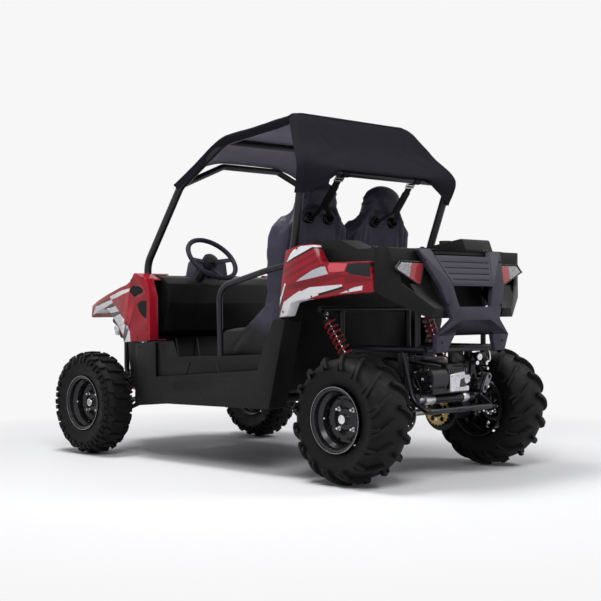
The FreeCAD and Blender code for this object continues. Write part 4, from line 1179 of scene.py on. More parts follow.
# Shock absorbers
def shock(top, foot, radius, turn_count, name):
    """Spring over a damper, between its upper and lower eyes."""
    top, foot = Vector(top), Vector(foot)
    way = foot - top
    wire = bpy.context.scene.utv_sizes.spring_wire

    def at(share):
        return top + way * share

    spring = coil(at(0.1), at(0.82), radius - wire, wire, turn_count)
    done(with_mirror(spring), name + "_springs", "spring", [name + "_shocks"])
    body = [lathe([(0.007, -0.004), (radius, -0.004), (radius, 0.001), (radius - 0.004, 0.004), (0.007, 0.004)],
                  at(share), axis=way * turn, steps=32) for share, turn in ((0.095, 1), (0.828, -1))]
    reach = 0.44 * way.length
    body.append(lathe([(0.0, 0.0), (0.0155, 0.0), (0.0175, 0.006), (0.0175, reach), (0.0, reach)], at(0.5), axis=way,
                      steps=28))
    rods = [rod(at(0.03), at(0.52), 0.0062)]
    for share in (0.02, 0.98):
        body.append(lathe([(0.0055, -0.013), (0.0135, -0.013), (0.015, -0.01), (0.015, 0.01), (0.0135, 0.013),
                           (0.0055, 0.013)], at(share), axis=(1, 0, 0), steps=24))
        rods.append(hex_bolt(at(share) + Vector((-0.013, 0, 0)), (-1, 0, 0), 0.009, 0.008))
    done(with_mirror(joined(body)), name + "_dampers", "dark_metal")
    done(with_mirror(joined(rods)), name + "_shock_rods", "chrome")


# Rear axle
def sprocket_outline(teeth, root, tip):
    points = []
    for angle in turns(teeth):
        for share, radius in ((-0.3, root), (-0.12, root + 0.0004), (0.08, tip - 0.0018), (0.2, tip), (0.3, tip),
                              (0.42, tip - 0.0018)):
            turn = angle + 2 * math.pi * share / teeth
            points.append((REAR_HUB.x + radius * math.sin(turn), REAR_HUB.z + radius * math.cos(turn)))
    return points


def axle():
    """Live axle with its sprocket, guard, brake disc and hub nuts."""
    low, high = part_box("rear_axle")
    hub = Vector((REAR_HUB.x, 0, REAR_HUB.z))
    chain_line = hub + Vector((0, CHAIN_Y, 0))

    def axle_piece(obj, name, finish):
        done(obj, name, finish, ["rear_axle"], "rear_wheels")

    shaft = lathe([(0.0, low.y), (0.014, low.y), (0.016, low.y + 0.003), (0.016, high.y - 0.003), (0.014, high.y),
                   (0.0, high.y)], hub, steps=32)
    disc_hub = lathe([(0.016, 0.145), (0.034, 0.145), (0.034, 0.16), (0.034, 0.166), (0.026, 0.18), (0.016, 0.18)],
                     hub, steps=36)
    axle_piece(joined([shaft, disc_hub]), "rear_axle_shaft", "steel")
    wheel = outline_solid(sprocket_outline(24, 0.0635, 0.07), "y", CHAIN_Y - 0.0035, CHAIN_Y + 0.0035)
    drilled(wheel, around(chain_line, 0.047, 5), Vector((0, 0.02, 0)), 0.011, 24)
    axle_piece(soften(wheel, 0.0006, 1, 40), "rear_sprocket", "zinc")
    carrier = lathe([(0.016, -0.032), (0.026, -0.032), (0.03, -0.028), (0.03, 0.014), (0.025, 0.02), (0.016, 0.02)],
                    chain_line, steps=40)
    plate = lathe([(0.028, -0.024), (0.0935, -0.024), (0.095, -0.0225), (0.0935, -0.02), (0.028, -0.02)],
                  chain_line)
    axle_piece(joined([carrier, plate]), "sprocket_guard", "plastic_gloss")
    disc = lathe([(0.032, 0.1605), (0.0875, 0.1605), (0.0875, 0.1645), (0.032, 0.1645)], hub)
    disc_middle = hub + Vector((0, 0.1625, 0))
    for radius, start in ((0.077, 0.0), (0.066, math.pi / 9)):
        drilled(disc, around(disc_middle, radius, 9, start), Vector((0, 0.0125, 0)), 0.004, 10)
    axle_piece(disc, "brake_disc", "steel")
    heads = [hex_bolt(spot, (0, 1, 0), 0.008, 0.006)
             for spot in around(chain_line + Vector((0, 0.0035, 0)), 0.041, 5, math.pi / 5)]
    for side in (1, -1):
        place = hub + Vector((0, side * (REAR_RIM_OUTER - 0.095), 0))
        heads += [hex_bolt(spot, (0, -side, 0), 0.011, 0.026) for spot in around(place, 0.037, 8)]
    done(joined(heads), "rear_hub_nuts", "chrome", body="rear_wheels")


# Power unit, placed by a height over the rear axle
ENGINE_Z = REAR_HUB.z + 0.0725
PULLEY = Vector((-1.051, 0, ENGINE_Z + 0.088))


def raised(points, z):
    """The points with their heights counted from z."""
    return [(*place, height + z) for *place, height in points]


# Outline, axis, start, end, edge radius and segments of each moulded body of the power unit
POWER_BODIES = (
    ([(-1.092, 0.022), (-1.092, 0.108), (-1.064, 0.122), (-0.985, 0.126), (-0.95, 0.092), (-0.95, 0.03),
      (-0.99, 0.022)], "y", -0.05, 0.19, 0.006),
    ([(-1.104, 0.044), (-1.104, 0.1), (-1.08, 0.1), (-1.08, 0.03)], "y", -0.016, 0.092, 0.004),
    ([(-1.06, 0.04), (-1.04, 0.15), (-0.885, 0.166), (-0.885, 0.06), (-0.96, 0.03)], "y", -0.14, 0.04, 0.008),
    ([(-1.092, 0.06), (-1.072, 0.148), (-0.8, 0.178), (-0.752, 0.13), (-0.79, 0.076), (-1.01, 0.028)], "y", 0.112,
     0.188, 0.014, 4),
    ([(-0.206, 0.064), (-0.222, 0.088), (-0.206, 0.104), (-0.18, 0.092), (-0.148, 0.034), (-0.152, 0.014),
      (-0.17, 0.01), (-0.186, 0.028)], "x", -1.092, -1.04, 0.003),
    ([(-0.118, 0.06), (-0.108, 0.176), (-0.016, 0.176), (-0.006, 0.06)], "x", -0.78, -0.716, 0.008),
)


def power_unit():
    """Crankcase, gearbox, barrel, belt case, pulley, starter, intake and hanger."""
    z = ENGINE_Z
    pieces = [rounded(raised(points, z), axis, low, high, *edge) for points, axis, low, high, *edge in POWER_BODIES]
    pieces += [soft_block((-1.086, -0.165, z + 0.03), (-1.046, -0.13, z + 0.08), 0.004),
               soft_block((-1.062, -0.06, z + 0.12), (-1.034, 0.02, z + 0.216), 0.003)]
    pieces += [lathe([(0.0, 0.1), (0.055, 0.1), (0.058, 0.103), (0.058, 0.203), (0.052, 0.207), (0.022, 0.207),
                      (0.02, 0.214), (0.0, 0.214)], PULLEY, steps=56),
               lathe([(0.0, -0.016), (0.015, -0.016), (0.017, -0.013), (0.017, 0.03), (0.0185, 0.031),
                      (0.0185, 0.034), (0.017, 0.035), (0.017, 0.093), (0.012, 0.097), (0.0, 0.097)],
                     (-1.078, 0, z + 0.138), steps=36),
               lathe([(0.0, 0.0), (0.019, 0.0), (0.019, 0.042), (0.0, 0.042)], (-1.094, -0.132, z + 0.176),
                     axis=(1, 0, 0), steps=32)]
    pieces.append(pipe(raised([(-1.066, -0.112, 0.1), (-1.066, -0.112, 0.15), (-1.066, -0.13, 0.178),
                               (-1.066, -0.175, 0.188), (-1.066, -0.205, 0.17), (-1.066, -0.218, 0.15)], z), 0.015))
    pieces += [rod((-0.9, -0.062, z + 0.112), (-0.772, -0.062, z + 0.112), 0.048, 40),
               rod((-0.8, CHAIN_Y - 0.012, z + 0.06), (-0.8, -0.04, z + 0.06), 0.014, 24),
               rod((-0.8, CHAIN_Y - 0.004, z + 0.06), (-0.8, CHAIN_Y + 0.004, z + 0.06), 0.028, 28)]
    done(joined(pieces), "power_unit", "dark_metal", ["engine"])
    mount = [soft_block((-0.96, -0.238, z + 0.096), (-0.93, 0.236, z + 0.112), 0.002, 1)]
    mount += [block((-0.958, side * 0.23 - 0.005, z + 0.096), (-0.932, side * 0.23 + 0.005, z + 0.2))
              for side in (1, -1)]
    done(joined(mount), "engine_mount", "frame", ["engine"])


# Points of each hose with its radius
HOSES = (
    ([(-1.07, 0.1, 0.15), (-1.09, 0.07, 0.143), (-1.096, 0.02, 0.139), (-1.09, -0.04, 0.142),
      (-1.06, -0.08, 0.16)], 0.0045),
    ([(-1.06, 0.02, 0.22), (-1.09, 0.0, 0.2), (-1.09, -0.03, 0.165), (-1.06, -0.06, 0.15)], 0.0035),
    ([(-1.0, 0.12, 0.235), (-1.07, 0.06, 0.215), (-1.085, -0.02, 0.212), (-1.07, -0.11, 0.206)], 0.0035),
    ([(-1.08, -0.15, 0.13), (-1.095, -0.158, 0.1), (-1.09, -0.14, 0.06), (-1.07, -0.12, 0.05)], 0.005),
    ([(-0.99, 0.2, 0.12), (-1.04, 0.222, 0.07), (-1.05, 0.22, 0.03), (-1.02, 0.19, 0.0)], 0.004),
)


def engine_covers():
    """Bright covers, the pulley's and barrel's ribs, hoses, plugs and bolts."""
    z = ENGINE_Z
    covers = [rounded(raised(points, z), "x", low, high, radius, segments) for points, low, high, radius, segments in (
        ([(0.09, 0.106), (-0.01, 0.116), (-0.014, 0.09), (0.02, 0.08), (0.03, 0.03), (0.09, 0.03)], -1.1075, -1.086,
         0.003, 3),
        ([(-0.012, 0.076), (-0.012, 0.1), (-0.05, 0.1), (-0.055, 0.07), (-0.03, 0.06)], -1.102, -1.08, 0.003, 2))]
    covers.append(soft_block((-1.104, -0.045, z + 0.03), (-1.06, 0.03, z + 0.052), 0.004))
    done(joined(covers), "crankcase_cover", "alloy_bright")
    ribs = [block((-1.09, y, z + 0.112), (-0.99, y + 0.004, z + 0.13)) for y in (i * 0.015 - 0.045 for i in range(9))]
    done(joined(ribs), "crankcase_ribs", "alloy")
    fan = [lathe([(0.05, 0.196), (0.0575, 0.196), (0.0575, 0.2085), (0.053, 0.211), (0.05, 0.2085)], PULLEY, steps=48)]
    for angle in turns(10):
        fan.append(block((-0.0016, 0.205, 0.022), (0.0016, 0.211, 0.052)))
        fan[-1].data.transform(Matrix.Translation(PULLEY) @ Matrix.Rotation(angle, 4, "Y"))
    done(joined(fan), "pulley_cover_ribs", "plastic_gloss")
    lobe = outline_solid(raised([(-0.206, 0.066), (-0.219, 0.088), (-0.204, 0.102), (-0.18, 0.09), (-0.15, 0.034),
                                 (-0.154, 0.016), (-0.17, 0.012), (-0.184, 0.03)], z), "x", -1.0985, -1.088)
    for y, height, radius in ((-0.1995, 0.084, 0.0095), (-0.168, 0.034, 0.012)):
        drilled(lobe, [Vector((-1.1, y, z + height))], Vector((0.02, 0, 0)), radius, 24)
    done(soften(lobe, 0.0022), "lobed_cover", "alloy")
    fins = [soft_block((x - 0.0006, -0.129, z + 0.051), (x + 0.0056, 0.005, z + 0.173), 0.0012, 1)
            for x in (0.016 * i - 0.89 for i in range(7))]
    done(joined(fins), "cooling_fins", "alloy")
    plugs = [rod((start, y, z + height), (end, y, z + height), radius, sides)
             for start, end, y, height, radius, sides in
             ((-1.099, -1.088, -0.132, 0.176, 0.017, 28), (-1.104, -1.07, -0.108, 0.15, 0.011, 20),
              (-1.1, -1.07, -0.178, 0.146, 0.008, 20), (-1.1, -1.07, -0.186, 0.122, 0.007, 20))]
    for plug in plugs[:2]:
        soften(plug, 0.004, 3, 60)
    feed = pipe(raised([(-1.07, -0.2, 0.22), (-1.085, -0.212, 0.21), (-1.09, -0.216, 0.17), (-1.09, -0.207, 0.15),
                        (-1.088, -0.19, 0.152)], z), 0.0042)
    done(joined(plugs + [feed]), "bright_fittings", "chrome")
    done(joined([pipe(raised(points, z), radius) for points, radius in HOSES]), "engine_hoses", "hose")
    heads = [hex_bolt((-1.1075, y, z + height), (-1, 0, 0), 0.006, 0.006) for y, height in
             ((0.082, 0.098), (0.04, 0.102), (0.082, 0.038), (0.044, 0.05), (0.0, 0.102), (-0.04, 0.088))]
    heads += [hex_bolt(PULLEY + Vector((0.052 * math.cos(a), 0.209, 0.052 * math.sin(a))), (0, 1, 0), 0.006, 0.005)
              for a in (0.6, 2.2, 3.7, 5.3)]
    heads.append(hex_bolt(PULLEY + Vector((0, 0.213, 0)), (0, 1, 0), 0.012, 0.009))
    done(joined(heads), "engine_bolts", "chrome")


SILENCER_Z = ENGINE_Z - 0.003


def flat_oval(radius, sides):
    """Section of the silencer: a circle drawn out along X."""
    points = []
    for angle in turns(sides):
        flat = 0.017 if math.cos(angle) > 0 else -0.017
        points.append((-1.026 + flat + radius * math.cos(angle), SILENCER_Z + radius * math.sin(angle)))
    return points


def silencer():
    """Flat oval silencer across the tail with its sleeves and outlet, and its pipe along the right side."""
    z = SILENCER_Z
    can = rounded(flat_oval(0.0205, 32), "y", -0.14, 0.198, 0.003, 3, 60)
    neck = pipe(raised([(-1.026, -0.12, 0.0), (-1.026, -0.17, 0.0), (-1.02, -0.22, 0.015), (-0.99, -0.255, 0.035),
                        (-0.93, -0.262, 0.05), (-0.86, -0.258, 0.055), (-0.78, -0.22, 0.06), (-0.75, -0.15, 0.08),
                        (-0.748, -0.1, 0.09)], z), 0.0125, 8)
    chamber = lathe([(0.0125, 0.0), (0.024, 0.012), (0.026, 0.018), (0.026, 0.082), (0.024, 0.088), (0.0125, 0.1)],
                    (-0.965, -0.262, z + 0.052), axis=(1, 0, 0), steps=40)
    done(joined([can, neck, chamber]), "exhaust_shell", "exhaust_dark", ["exhaust"], smooth=50)
    sleeves = [rounded(flat_oval(0.0215, 24), "y", low, high, 0.0025, 2, 50)
               for low, high in ((0.135, 0.1985), (-0.1, -0.06))]
    outlet = lathe([(0.009, 0.0), (0.0125, 0.0), (0.0125, 0.02), (0.009, 0.02)], (-1.03, 0.197, z), steps=28)
    done(joined(sleeves + [outlet]), "silencer_sleeves", "alloy_bright")


# Lamps, deck, cab details and fasteners
LAMP_OUTLINE = [(0.441, 0.912), (0.408, 0.943), (0.255, 0.943), (0.279, 0.839)]


def lamps():
    dressed("tail_lamps", "tail_lamp", 0.0025)
    dressed("headlamps", "head_lamp", 0.0025)
    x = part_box("tail_lamps")[0].x
    bezel = [rod((x + 0.002, *a), (x + 0.002, *b), 0.004, 10)
             for a, b in zip(LAMP_OUTLINE, LAMP_OUTLINE[1:] + LAMP_OUTLINE[:1])]
    bezel += [rod((x - 0.002, *p), (x + 0.004, *p), 0.004, 10) for p in LAMP_OUTLINE]
    done(with_mirror(joined(bezel)), "tail_lamp_bezels", "plastic_gloss")


def deck_trim():
    """Cross rail in front of the tray, and the caps and catches on its corners."""
    done(soft_block((-0.602, -0.328, 0.992), (-0.5705, 0.328, 1.034), 0.004, 3), "deck_rail", "guard")
    knobs = [lathe([(0.0, 0.0), (0.012, 0.0), (0.013, 0.008), (0.009, 0.014), (0.0, 0.016)], place, axis=way, steps=20)
             for place, way in (((-0.6, 0.12, 1.02), (-1, 0, 0)), ((-0.6, 0.3, 1.018), (-1, 0, 0)),
                                ((-0.9, 0.346, 1.004), (0, 0, 1)), ((-1.062, 0.22, 0.997), (0, 0, 1)))]
    done(with_mirror(joined(knobs)), "deck_knobs", "plastic_gloss")


QUARTER_SCREWS = ((-0.53, 0.735), (-0.7, 0.8), (-0.9, 0.823), (-0.62, 1.012))
FENDER_SCREWS = ((0.55, 0.61), (0.47, 0.65), (0.6, 0.9), (0.5, 0.91))
SILL_SCREWS = ((0.52, 0.56), (0.52, 0.3), (0.3, 0.32), (0.02, 0.325), (-0.26, 0.33), (-0.44, 0.68), (-0.42, 0.36))
GUARD_SCREWS = ((0.262, 0.955), (0.185, 0.76), (0.21, 0.6))


def fasteners():
    """Screws that hold the panels, guard and sills, sunk where a panel's side draws in towards the rear."""
    places = [(x, BODY_Y - 0.001 - max(-x - 0.6, 0) * 0.107, z) for x, z in QUARTER_SCREWS]
    places += [(x, BODY_Y - 0.0005, z) for x, z in FENDER_SCREWS]
    places += [(x, SILL_Y - 0.0005 - max(-x - 0.38, 0) * 0.06, z) for x, z in SILL_SCREWS]
    heads = [hex_bolt(place, (0, 1, 0), 0.006, 0.004) for place in places]
    heads += [hex_bolt((guard_face(z), y, z), (-1, 0, 0), 0.008, 0.005) for y, z in GUARD_SCREWS]
    done(with_mirror(joined(heads)), "panel_screws", "dark_metal")


GUARD_LINE = [(0.556, -1.153), (0.63, -1.168), (0.7, -1.185), (0.842, -1.167), (1.003, -1.095)]


def guard_face(z):
    for (z0, x0), (z1, x1) in zip(GUARD_LINE, GUARD_LINE[1:]):
        if z <= z1:
            return x0 + (x1 - x0) * (z - z0) / (z1 - z0)
    return GUARD_LINE[-1][1]


def steering_wheel():
    """Rim and spokes from the frame, with a cap on the column's slant."""
    done(from_node("steering_wheel", 0.0012), "steering_wheel_rim", "grip", ["steering_wheel"],
         "steering_wheel", 45)
    tilt = math.radians(42.8)
    cap = lathe([(0.0, -0.006), (0.036, -0.006), (0.039, -0.002), (0.034, 0.004), (0.0, 0.006)],
                (0.353, 0.215, 1.008), axis=(-math.cos(tilt), 0, math.sin(tilt)), steps=36)
    done(cap, "steering_wheel_cap", "plastic_gloss", body="steering_wheel")


def gauge_pod():
    """Moulded housing of the gauge, on top of the dashboard."""
    pod = rounded([(0.232, 0.89), (0.206, 0.998), (0.188, 1.01), (0.024, 1.01), (0.004, 0.996), (-0.012, 0.89)], "x",
                  0.484, 0.566, 0.01)
    done(pod, "gauge_pod", "guard")


def cab_details():
    """Gauge, key and pedals."""
    dial = lathe([(0.0, 0.0), (0.036, 0.0), (0.036, 0.006), (0.033, 0.009), (0.031, 0.004), (0.0, 0.004)],
                 (0.484, 0.11, 0.945), axis=(-1, 0, 0.1), steps=40)
    key = lathe([(0.0, 0.0), (0.011, 0.0), (0.011, 0.007), (0.0, 0.009)], (0.474, -0.08, 0.9), axis=(-1, 0, 0.15),
                steps=20)
    done(joined([dial, key]), "gauge", "plastic_gloss")
    pedals = []
    for y, wide in ((0.3, 0.06), (0.16, 0.045)):
        pedals += [soft_block((0.515, y - wide / 2, 0.415), (0.525, y + wide / 2, 0.48), 0.003),
                   rod((0.522, y, 0.47), (0.55, y, 0.6), 0.006, 12)]
    done(joined(pedals), "pedals", "dark_metal")


# Body mouldings
BODY_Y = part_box("rear_quarter_left")[1].y
SILL_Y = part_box("sill_left")[1].y
WALL = 0.005


def grown(points, margin):
    """Outline with its corners moved away from its middle by the margin."""
    middle_place = sum((Vector(p) for p in points), Vector((0, 0))) / len(points)
    return [tuple(Vector(p) + (Vector(p) - middle_place).normalized() * margin) for p in points]


FENDER_REAR = 0.445
SCOOP = [(0.555, 0.777), (0.511, 0.794), (0.47, 0.794), (0.474, 0.703), (0.502, 0.71), (0.536, 0.739)]
VENT = [(0.613, 0.836), (0.618, 0.848), (0.588, 0.872), (0.539, 0.867), (0.505, 0.852), (0.503, 0.836),
        (0.54, 0.826), (0.579, 0.811)]


def fenders():
    """Front fenders, cut to the door opening's edge, with the scoop and the vent let into them."""
    shell = from_node("front_fender_left", 0)
    rear = FENDER_REAR
    opening = [(0.3, 0.5), (rear, 0.5), (rear, 0.815), (rear + 0.048, 0.935), (0.48, 1.0), (0.3, 1.0)]
    cut_by(shell, outline_solid(opening, "y", 0.2, 0.7))
    rear_wall = outline_solid([(rear, 0.598), (rear + WALL, 0.598), (rear + WALL, 0.81), (rear + 0.042, 0.908),
                               (rear + 0.036, 0.908), (rear, 0.815)], "y", 0.492, BODY_Y - 0.001)
    for hole in (SCOOP, VENT):
        cut_by(shell, outline_solid(hole, "y", BODY_Y - 0.02, BODY_Y + 0.02))
    mirrored_pair(soften(joined([shell, rear_wall]), 0.0016, 2, 25), "front_fender_{}", "fender",
                  "front_fender")
    inserts = []
    for hole in (SCOOP, VENT):
        inserts.append(rounded(grown(hole, 0.008), "y", BODY_Y - 0.011, BODY_Y - 0.0045, 0.0008, 1))
        across, heights = zip(*hole)
        for share in (0.25, 0.5, 0.75):
            z = min(heights) + (max(heights) - min(heights)) * share
            inserts.append(soft_block((min(across) + 0.018, BODY_Y - 0.006, z - 0.0015),
                                      (max(across) - 0.028, BODY_Y - 0.0015, z + 0.0015), 0.0008, 1))
    done(with_mirror(joined(inserts)), "fender_inserts", "plastic")


SILL_STEP = [(0.386, 0.416), (0.386, 0.66), (-0.376, 0.66), (-0.376, 0.472)]
SILL_SLOT = [(0.234, 0.354), (0.234, 0.394), (-0.18, 0.416), (-0.18, 0.372)]
ABOVE_STEP = [(0.384, 0.7), (0.384, 0.59), (0.35, 0.511), (-0.376, 0.539), (-0.376, 0.7)]
STEP_Y = 0.541


def left_inside_step(face):
    """A face that the cuts leave standing in the step's opening."""
    return abs(face.center.y - STEP_Y) < 0.0003 and abs(face.normal.y) > 0.99 and face.area > 0.0008


def sills():
    """Side sills with the stepped door area, its ribs and the long shallow slot below it."""
    shell = from_node("sill_left", 0)
    for outline, inner_y in ((SILL_STEP, STEP_Y), (SILL_SLOT, SILL_Y - 0.0025), (ABOVE_STEP, 0.35)):
        cut_by(shell, outline_solid(outline, "y", inner_y, 0.62))
    choose(shell, "polygons", left_inside_step)
    with editing(shell, everything=False):
        bpy.ops.mesh.delete(type="FACE")
    parts = [shell] + [outline_solid(points, "y", low, high) for points, low, high in (
        ([(0.392, 0.41), (0.392, 0.588), (0.385, 0.592), (0.35, 0.512), (-0.372, 0.54), (-0.382, 0.545),
          (-0.382, 0.466)], STEP_Y - WALL, STEP_Y + 0.0012),
        ([(0.352, 0.512), (-0.375, 0.54), (-0.375, 0.534), (0.352, 0.506)], 0.445, STEP_Y),
        ([(0.56, 0.6), (0.64, 0.6), (0.61, 0.36), (0.56, 0.35)], SILL_Y - 0.021, SILL_Y - 0.016))]
    for x, lean in ((0.16, -0.034), (-0.11, 0.034)):
        rib = [(x, 0.424), (x + 0.014, 0.424), (x + lean + 0.014, 0.498), (x + lean, 0.498)]
        parts.append(outline_solid(rib, "y", STEP_Y - 0.002, STEP_Y + 0.0045))
    mirrored_pair(soften(joined(parts), 0.0016, 2, 25), "sill_{}", "plastic", "sill")


GUARD_WINDOW = [(-0.096, 0.692), (0.096, 0.692), (0.128, 0.64), (0.172, 0.54), (-0.172, 0.54), (-0.128, 0.64)]


def tail_panels():
    """Tailgate with its four grooves, the guard and the ribbed tray."""
    gate = from_node("tailgate", 0)
    for z in (0.866, 0.892, 0.918, 0.944):
        half = 0.128 + 0.04 * (z - 0.866) / 0.078
        face = guard_face(z)
        cut_by(gate, outline_solid([(-half, z), (-half, z + 0.005), (half, z + 0.005), (half, z)], "x", face - 0.03,
                                   face + 0.0045))
    done(soften(gate, 0.001, 2, 25), "tailgate_shell", "guard", ["tailgate"])
    guard = cut_by(from_node("rear_guard", 0), outline_solid(GUARD_WINDOW, "x", -1.25, -1.02))
    done(soften(guard, 0.0025, 2, 25), "rear_guard_shell", "guard", ["rear_guard"])
    ribs = [soft_block((-1.02, y - 0.006, 0.8925), (-0.582, y + 0.006, 0.8985), 0.001, 1)
            for y in (-0.08, 0, 0.08, 0.16, 0.24)]
    ribs.append(rounded([(-0.327, 0.8905), (-0.327, 0.775), (-0.13, 0.702), (0.13, 0.702), (0.327, 0.775),
                         (0.327, 0.8905)], "x", -1.026, -1.022, 0.001, 1))
    done(joined(ribs), "tray_ribs", "plastic")


def rear_bar():
    """Front bumper kept from the frame, and the bar across the tail with slanting legs."""
    bar = from_node("bumper_bars", 0)
    for side in (1, -1):
        low, high = sorted((side * 0.045, side * 0.4))
        cut_by(bar, block((-1.4, low, 0.2), (-0.7, high, 0.8)))
    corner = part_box("bumper_bars")[0]
    x, z = corner.x + 0.068, corner.z + 0.013
    line = [(-0.958, 0.229, 0.564), (-0.974, 0.229, 0.495), (-0.988, 0.229, 0.43), (-1.01, 0.2285, z + 0.05),
            (x + 0.045, 0.228, z + 0.02), (x + 0.004, 0.224, z), (x, 0.19, z), (x, 0.1, z), (x, 0.0, z)]
    line += [(a, -b, c) for a, b, c in line[-2::-1]]
    done(joined([bar, pipe(line, 0.013, 8)]), "tail_bar", "tube", ["bumper_bars"], smooth=45)


# Operators, one for each piece or group of like pieces
class UTV_OT_tyres(bpy.types.Operator):
    """Four tyres with their lugs wrapped on rounded carcasses"""
    bl_idname = "utv.tyres"
    bl_label = "Tyres"

    def execute(self, context):
        for side, word in SIDES:
            front_tyre(side, word)
            rear_tyre(side, word)
        return {"FINISHED"}


REAR_RIM_WIDTH = 0.212


class UTV_OT_rims(bpy.types.Operator):
    """Pressed steel wheels with nuts and hub caps"""
    bl_idname = "utv.rims"
    bl_label = "Rims"

    def execute(self, context):
        for side, word in SIDES:
            rim(FRONT_HUB, FRONT_RIM_OUTER, FRONT_RIM_INNER, 0.075, side, 0.0155, "front_wheel_" + word,
                "front_rim_" + word, "rim_front_" + word)
            rim(REAR_HUB, REAR_RIM_OUTER, REAR_RIM_OUTER - REAR_RIM_WIDTH, 0.076, side, 0.0175, "rear_wheels",
                "rear_rim_" + word, "rear_rims")
        return {"FINISHED"}


class UTV_OT_panels(bpy.types.Operator):
    """Moulded body panels with softly rounded edges"""
    bl_idname = "utv.panels"
    bl_label = "Body panels"

    def execute(self, context):
        fenders()
        sills()
        tail_panels()
        gauge_pod()
        for word in ("left", "right"):
            dressed("rear_quarter_" + word, "quarter")
        dressed("hood", "panel")
        for node in ("front_liners", "dashboard", "grille", "rear_panels", "cargo_tray", "fuel_tank", "floor_pan"):
            dressed(node, "plastic")
        return {"FINISHED"}


class UTV_OT_tubes(bpy.types.Operator):
    """Roll cage, frame and suspension tubes"""
    bl_idname = "utv.tubes"
    bl_label = "Tubes"

    def execute(self, context):
        paint("tube", "rear_hoop", "cage_sides", "cage_header", "hip_bars")
        rear_bar()
        paint("frame", "frame", "swing_arm", "front_arms")
        paint("steel", "knuckle_left", "knuckle_right", "steering_rack")
        return {"FINISHED"}


class UTV_OT_canopy(bpy.types.Operator):
    """Canopy cloth stretched over the cage, with its creases and hems"""
    bl_idname = "utv.canopy"
    bl_label = "Canopy"

    def execute(self, context):
        canopy_cloth()
        return {"FINISHED"}


class UTV_OT_seats(bpy.types.Operator):
    """Seat covers with seams, belt holes and the shoulder straps' fittings"""
    bl_idname = "utv.seats"
    bl_label = "Seats"

    def execute(self, context):
        seat_pad()
        harness()
        belt_bezels()
        belt_fittings()
        return {"FINISHED"}


class UTV_OT_suspension(bpy.types.Operator):
    """Springs and dampers, front and rear"""
    bl_idname = "utv.suspension"
    bl_label = "Shock absorbers"

    def execute(self, context):
        shock((-0.593, 0.35, 0.731), (-0.83, 0.285, 0.322), 0.032, 13, "rear")
        shock((0.885, 0.222, 0.588), (0.885, 0.41, 0.222), 0.028, 11, "front")
        return {"FINISHED"}


class UTV_OT_drive(bpy.types.Operator):
    """Engine, silencer and live axle"""
    bl_idname = "utv.drive"
    bl_label = "Engine and axle"

    def execute(self, context):
        axle()
        power_unit()
        engine_covers()
        silencer()
        return {"FINISHED"}


class UTV_OT_fittings(bpy.types.Operator):
    """Lamps, deck rail, steering wheel, cab details and screws"""
    bl_idname = "utv.fittings"
    bl_label = "Fittings"

    def execute(self, context):
        lamps()
        deck_trim()
        steering_wheel()
        cab_details()
        fasteners()
        return {"FINISHED"}


class UTV_OT_stage(bpy.types.Operator):
    """Pale floor, soft lights and the camera"""
    bl_idname = "utv.stage"
    bl_label = "Stage"

    def execute(self, context):
        add_floor()
        add_lights()
        add_camera()
        return {"FINISHED"}


# Stage
CAMERA_PLACE = (-4.4272, 4.1963, 0.7462)
CAMERA_YAW = -0.76754
CAMERA_PITCH = 0.0072
CAMERA_ROLL = -0.00644
LENS_MM = 72.23
SENSOR_MM = 36.0
PAPER = 0.93


def add_camera():
    data = bpy.data.cameras.new("camera")
    data.sensor_width = SENSOR_MM
    data.lens = LENS_MM
    camera = bpy.data.objects.new("camera", data)
    bpy.context.collection.objects.link(camera)
    forward = Vector((math.cos(CAMERA_PITCH) * math.cos(CAMERA_YAW), math.cos(CAMERA_PITCH) * math.sin(CAMERA_YAW),
                      math.sin(CAMERA_PITCH)))
    right = forward.cross(Vector((0, 0, 1))).normalized()
    up = right.cross(forward)
    turned_right = right * math.cos(CAMERA_ROLL) + up * math.sin(CAMERA_ROLL)
    turned_up = turned_right.cross(forward)
    turn = Matrix((turned_right, turned_up, -forward)).transposed().to_4x4()
    camera.matrix_world = Matrix.Translation(Vector(CAMERA_PLACE)) @ turn
    bpy.context.scene.camera = camera


def add_floor():
    bpy.ops.mesh.primitive_circle_add(vertices=96, radius=60.0, fill_type="NGON", location=(0, 0, -0.0005))
    floor = settle(bpy.context.object)
    finish = Finish("paper_floor", (0.86, 0.86, 0.87), 0.7)
    spot = finish.node("ShaderNodeVectorMath", {"operation": "LENGTH"}, {0: finish.place})["Value"]
    glow = finish.node("ShaderNodeEmission", None, {"Color": (PAPER, PAPER, PAPER + 0.005), "Strength": 1.0})[0]
    path = finish.node("ShaderNodeLightPath")
    seen = finish.maths("MAXIMUM", path["Is Camera Ray"], path["Is Glossy Ray"])
    seen = finish.maths("MAXIMUM", seen, path["Is Transmission Ray"])
    far = finish.span(spot, 1.6, 3.0)
    mixed = finish.node("ShaderNodeMixShader", None, {0: far * seen, 2: glow})
    shader = mixed[0].socket.node
    finish.tree.links.new(finish.shader.outputs[0], shader.inputs[1])
    output = next(n for n in finish.tree.nodes if n.type == "OUTPUT_MATERIAL")
    finish.tree.links.new(shader.outputs[0], output.inputs[0])
    floor.data.materials.append(finish.material)
    floor.name = "floor"


def area_light(name, place, target, size, power):
    data = bpy.data.lights.new(name, "AREA")
    data.size = size
    data.energy = power
    lamp = bpy.data.objects.new(name, data)
    bpy.context.collection.objects.link(lamp)
    way = Vector(target) - Vector(place)
    lamp.matrix_world = Matrix.Translation(Vector(place)) @ way.to_track_quat("-Z", "Y").to_matrix().to_4x4()


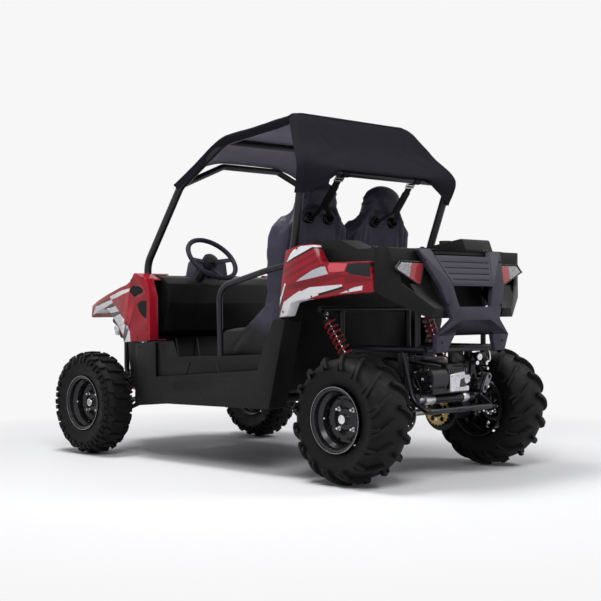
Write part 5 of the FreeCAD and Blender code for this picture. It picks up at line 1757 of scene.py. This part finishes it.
def add_lights():
    centre = (0, 0, 0.8)
    area_light("top", (0.6, 0.9, 4.8), centre, 1.6, 150)
    area_light("key", (-3.3, 2.9, 4.4), centre, 2.2, 130)
    area_light("side", (-2.9, -2.9, 4.2), centre, 1.6, 70)
    world = bpy.data.worlds.new("studio")
    world.use_nodes = True
    bpy.context.scene.world = world
    tree = world.node_tree
    lit = tree.nodes["Background"]
    lit.inputs["Color"].default_value = (0.9, 0.92, 1.0, 1)
    lit.inputs["Strength"].default_value = 0.24
    shown = tree.nodes.new("ShaderNodeBackground")
    shown.inputs["Color"].default_value = (PAPER, PAPER, PAPER + 0.005, 1)
    path = tree.nodes.new("ShaderNodeLightPath")
    mix = tree.nodes.new("ShaderNodeMixShader")
    seen = [path.outputs["Is Camera Ray"], path.outputs["Is Glossy Ray"], path.outputs["Is Transmission Ray"]]
    for ray in seen[1:]:
        either = tree.nodes.new("ShaderNodeMath")
        either.operation = "MAXIMUM"
        tree.links.new(seen[0], either.inputs[0])
        tree.links.new(ray, either.inputs[1])
        seen[0] = either.outputs[0]
    tree.links.new(seen[0], mix.inputs[0])
    tree.links.new(lit.outputs[0], mix.inputs[1])
    tree.links.new(shown.outputs[0], mix.inputs[2])
    tree.links.new(mix.outputs[0], tree.nodes["World Output"].inputs[0])
    bpy.context.scene.view_settings.view_transform = "Standard"


class UTV_PT_panel(bpy.types.Panel):
    """Lists the operators of the vehicle"""
    bl_label = "Vehicle"
    bl_space_type = "VIEW_3D"
    bl_region_type = "UI"
    bl_category = "Vehicle"

    def draw(self, context):
        for operator in OPERATORS:
            self.layout.operator(operator.bl_idname)


OPERATORS = (UTV_OT_tubes, UTV_OT_tyres, UTV_OT_rims, UTV_OT_panels, UTV_OT_canopy, UTV_OT_seats,
             UTV_OT_suspension, UTV_OT_drive, UTV_OT_fittings, UTV_OT_stage)
CLASSES = (UtvSizes, UtvColours) + OPERATORS + (UTV_PT_panel,)


def register():
    for cls in CLASSES:
        bpy.utils.register_class(cls)
    bpy.types.Scene.utv_sizes = bpy.props.PointerProperty(type=UtvSizes)
    bpy.types.Scene.utv_colours = bpy.props.PointerProperty(type=UtvColours)


def unregister():
    del bpy.types.Scene.utv_colours
    del bpy.types.Scene.utv_sizes
    for cls in reversed(CLASSES):
        bpy.utils.unregister_class(cls)


def main():
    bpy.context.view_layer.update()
    register()
    for operator in OPERATORS:
        group, name = operator.bl_idname.split(".")
        getattr(getattr(bpy.ops, group), name)()


if __name__ == "__main__":
    main()
